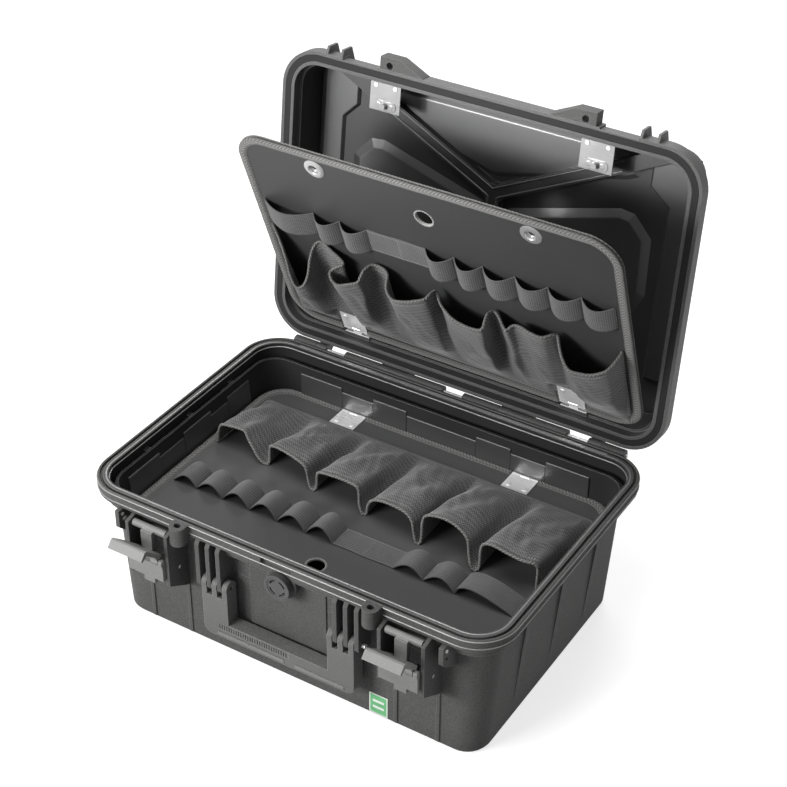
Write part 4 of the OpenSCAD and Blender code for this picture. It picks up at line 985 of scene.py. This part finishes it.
lidInside = {      # mm
    "ceiling": 227.0, "sunk": 0.05,      # each panel starts this far inside the shell
    "plateaus": [      # outlines on the ceiling, seen with the lid shut: x, y; then rise and slope width
        ([(-150, -139), (-146, -104), (-4, -68), (150, -106), (163, -112), (163, -130), (128, -139)], 2.6, 5),
        ([(-15, -36), (-15, 100), (-160, 100), (-186, 60), (-186, -48), (-164, -71), (-147, -73)], 3.2, 10),
        ([(15, -36), (147, -73), (164, -71), (186, -48), (188, 18), (174, 46), (174, 78), (150, 100),
          (15, 100)], 3.2, 10),
    ],
    "bands": [
        [(-229, -148), (-181, -148), (-181, -106), (-199, -88), (-199, 112), (-229, 112)],
        [(229, -148), (229, 112), (199, 112), (199, -88), (176, -106), (176, -148)],
    ],
    "plateauEdge": 0.9, "bandShape": (4.0, 3.0, 0.8),      # edge radius; rise, slope width and edge radius
    "outer": 230.0, "shieldShape": (1.3, 2.5, 0.7),
    "shields": [      # broad raised fields on the lid's outside
        [(-150, -128), (-136, -106), (0, -58), (136, -106), (150, -128)],
        [(-9, -40), (-9, 128), (-176, 128), (-205, 104), (-205, -60), (-190, -92), (-148, -92)],
        [(9, -40), (148, -92), (190, -92), (205, -60), (205, 104), (176, 128), (9, 128)],
    ],
}


def softened(obj, edge):      # its edges rounded, its flats kept flat
    bpy.ops.object.mode_set(mode="EDIT")
    bpy.ops.mesh.select_all(action="SELECT")
    bpy.ops.mesh.bevel(offset=edge * mm, segments=3, affect="EDGES")
    bpy.ops.object.mode_set(mode="OBJECT")
    for face in obj.data.polygons:
        face.use_smooth = True
    even = obj.modifiers.new("even", "WEIGHTED_NORMAL")
    even.keep_sharp = True


def raisedPanel(name, outline, level, rise, slope, edge, finish, slot="shell", facing=-1):
    bpy.ops.object.select_all(action="DESELECT")
    bpy.ops.mesh.primitive_circle_add(vertices=len(outline), radius=1, fill_type="NGON")
    obj = bpy.context.object
    for vert, (x, y) in zip(obj.data.vertices, outline):
        vert.co = (x * mm, y * mm, level * mm)
    bpy.ops.object.mode_set(mode="EDIT")
    bpy.ops.mesh.select_all(action="SELECT")
    bpy.ops.mesh.normals_make_consistent(inside=False)
    bpy.ops.object.mode_set(mode="OBJECT")
    if obj.data.polygons[0].normal.z * facing < 0:
        obj.data.flip_normals()
    bpy.ops.object.mode_set(mode="EDIT")
    bpy.ops.mesh.select_all(action="SELECT")
    bpy.ops.mesh.inset(thickness=slope * mm, depth=rise * mm)
    softened(obj, edge)
    obj.data.transform(openLid())
    return finished(name, obj, finish, "lid")


def makeLidPanels(s):
    inside, outside = s["ceiling"] + s["sunk"], s["outer"] - s["sunk"]
    for i, (outline, rise, slope) in enumerate(s["plateaus"]):
        raisedPanel("lidPlateau%d" % i, outline, inside, rise, slope, s["plateauEdge"], "inside")
    for i, outline in enumerate(s["bands"]):
        raisedPanel("lidSideBand%d" % i, outline, inside, *s["bandShape"], "inside")
    for i, outline in enumerate(s["shields"]):
        raisedPanel("lidShield%d" % i, outline, outside, *s["shieldShape"], "shellLid", facing=1)


makeLidPanels(lidInside)
print("lid panels made")


beadSet = {
    "section": [(-1.2, -0.5), (-1.2, 0.1), (-0.8, 0.75), (0, 1.0), (0.8, 0.75), (1.2, 0.1), (1.2, -0.5)],
    "ribLevel": 216.0,
    "ribs": [      # a pair of fine beads along each arm of the lid's rib, seen with the lid shut
        [(148, -130), (0, -58.1), (-148, -130)],
        [(149, -118.7), (5.5, -48.6), (5.5, 95)],
        [(-149, -118.7), (-5.5, -48.6), (-5.5, 95)],
    ],
    # the rim beads are pale, painted highlights along the rim's edges
    "rims": [      # half length, half width, corner radius, height; then how large the bead is
        ((239.0, 160.0, 32.0, 170.5), 0.5), ((241.8, 162.6, 34.8, 174.95), 0.3),
        ((251.1, 172.1, 44.1, 173.3), 0.6), ((251.1, 172.1, 44.1, 164.5), 0.6),
    ],
    "strips": [164.0, 165.4], "stripEnd": 200, "stripLevel": 174.95,      # fine pale lines along the rear rim, painted highlights
}


def makeBead(name, lines, up, scale, place, finish, body):
    section = [(a * (0.6 + 0.4 * scale), b * scale) for a, b in beadSet["section"]]
    points, faces, _ = joined([sweep(evenly([Vector(p) for p in line], 2.5), up, section) for line in lines])
    obj = fromMesh([place @ (p * mm) for p in points], faces)
    hardEdges(obj, 60)
    finished(name, obj, finish, body)


def roundedLoop(halfX, halfY, radius, level):
    line = []
    for cx, cy, first in ((1, 1, 0), (-1, 1, 90), (-1, -1, 180), (1, -1, 270)):
        for k in range(13):
            a = math.radians(first + k * 7.5)
            x, y = cx * (halfX - radius) + radius * math.cos(a), cy * (halfY - radius) + radius * math.sin(a)
            line.append((x, y, level))
    return line + [line[0]]


def makeBeads(b):
    ribs = [[(x, y, b["ribLevel"]) for x, y in line] for line in b["ribs"]]
    makeBead("lidRibBeads", ribs, -zUp, 1.0, openLid(), "inside", "lid")
    # painted highlights: pale beads round the rim and along its rear
    for i, (loop, scale) in enumerate(b["rims"]):
        makeBead("baseRimBead%d" % i, [roundedLoop(*loop)], zUp, scale, Matrix(), "paintedRimHighlight", "base")
    strips = [[(side * b["stripEnd"], y, b["stripLevel"]) for side in (-1, 1)] for y in b["strips"]]
    makeBead("baseRearHighlightStrips", strips, zUp, 0.3, Matrix(), "paintedRimHighlight", "base")


makeBeads(beadSet)
print("beads made")


clipSet = {      # a pressed boss with three lobes on each of the lid's clips
    "side": 128, "place": -128.3, "level": 189.0, "reach": (14.5, 6.2),
    "pitch": 7.6, "lobe": 3.9, "lobeDrop": 0.6,
    "bossShape": (0.7, 0.8, 0.2), "lobeShape": (0.6, 1.3, 0.25),      # rise, slope width and edge radius
}


def roundOutline(x, y, half, radius, count=28):      # a circle, or a slot with half its straight length
    return [(x + math.copysign(half, math.cos(a)) + radius * math.cos(a), y + radius * math.sin(a))
            for a in [2 * math.pi * (k + 0.5) / count for k in range(count)]]


def makeClipBoss(side, s):
    x, y, level = side * s["side"], s["place"], s["level"]
    half, end = s["reach"]
    boss = roundOutline(x, y, half - end, end)
    made = [raisedPanel("boss", boss, level, *s["bossShape"], "clipSteel", "steel")]
    for k in (-1, 0, 1):
        lobe = roundOutline(x + k * s["pitch"], y, 0, s["lobe"], 24)
        made.append(raisedPanel("lobe", lobe, level - s["lobeDrop"], *s["lobeShape"], "clipSteel", "steel"))
    bpy.ops.object.select_all(action="DESELECT")
    for obj in made:
        obj.select_set(True)
    bpy.context.view_layer.objects.active = made[0]
    bpy.ops.object.join()
    made[0].name = made[0].data.name = "clipBossLeft" if side < 0 else "clipBossRight"


for side in (-1, 1):
    makeClipBoss(side, clipSet)
print("clip bosses made")


wallSet = {      # panels and steps on the base's inner walls, mm
    "rear": [(-188, -131), (-88, -43), (48, 92), (136, 189)], "side": [(-118, -64), (-20, 30), (62, 104)],
    "low": 70, "high": 149.6, "out": 1.7, "step": 143.5, "stepOut": 1.2, "rearFace": 149.0, "sideFace": 232.7,
    "sunk": 0.8, "edge": 0.8,
    "lean": 0.0705,      # the side walls lean in by this much for each mm down
}


def between(spans):
    return [(a[1], b[0]) for a, b in zip(spans, spans[1:])]


def wallPanel(name, low, high, w, lean=0.0):
    bpy.ops.object.select_all(action="DESELECT")
    bpy.ops.mesh.primitive_cube_add(size=1)
    obj = bpy.context.object
    for vert in obj.data.vertices:
        at = [low[k] if vert.co[k] < 0 else high[k] for k in range(3)]
        at[0] -= math.copysign(lean * (w["high"] - at[2]), at[0])
        vert.co = [v * mm for v in at]
    softened(obj, w["edge"])
    finished(name, obj, "inside", "base")


def makeWalls(w):
    rows = [("Panel", w["rear"], w["side"], w["out"], w["high"]),
            ("Step", between(w["rear"]), between(w["side"]), w["stepOut"], w["step"])]
    low, back, beside = w["low"], w["rearFace"], w["sideFace"]
    for tag, rears, sides, out, top in rows:
        for i, (a, b) in enumerate(rears):
            wallPanel("rear%s%d" % (tag, i), (a, back - out, low), (b, back + w["sunk"], top), w)
            wallPanel("front%s%d" % (tag, i), (a, -back - w["sunk"], low), (b, -back + out, top), w)
        for i, (a, b) in enumerate(sides):
            for side, where in ((-1, "left"), (1, "right")):
                xs = sorted((side * (beside - out), side * (beside + w["sunk"])))
                wallPanel("%s%s%d" % (where, tag, i), (xs[0], a, low), (xs[1], b, top), w, w["lean"])


makeWalls(wallSet)
print("inner wall panels made")
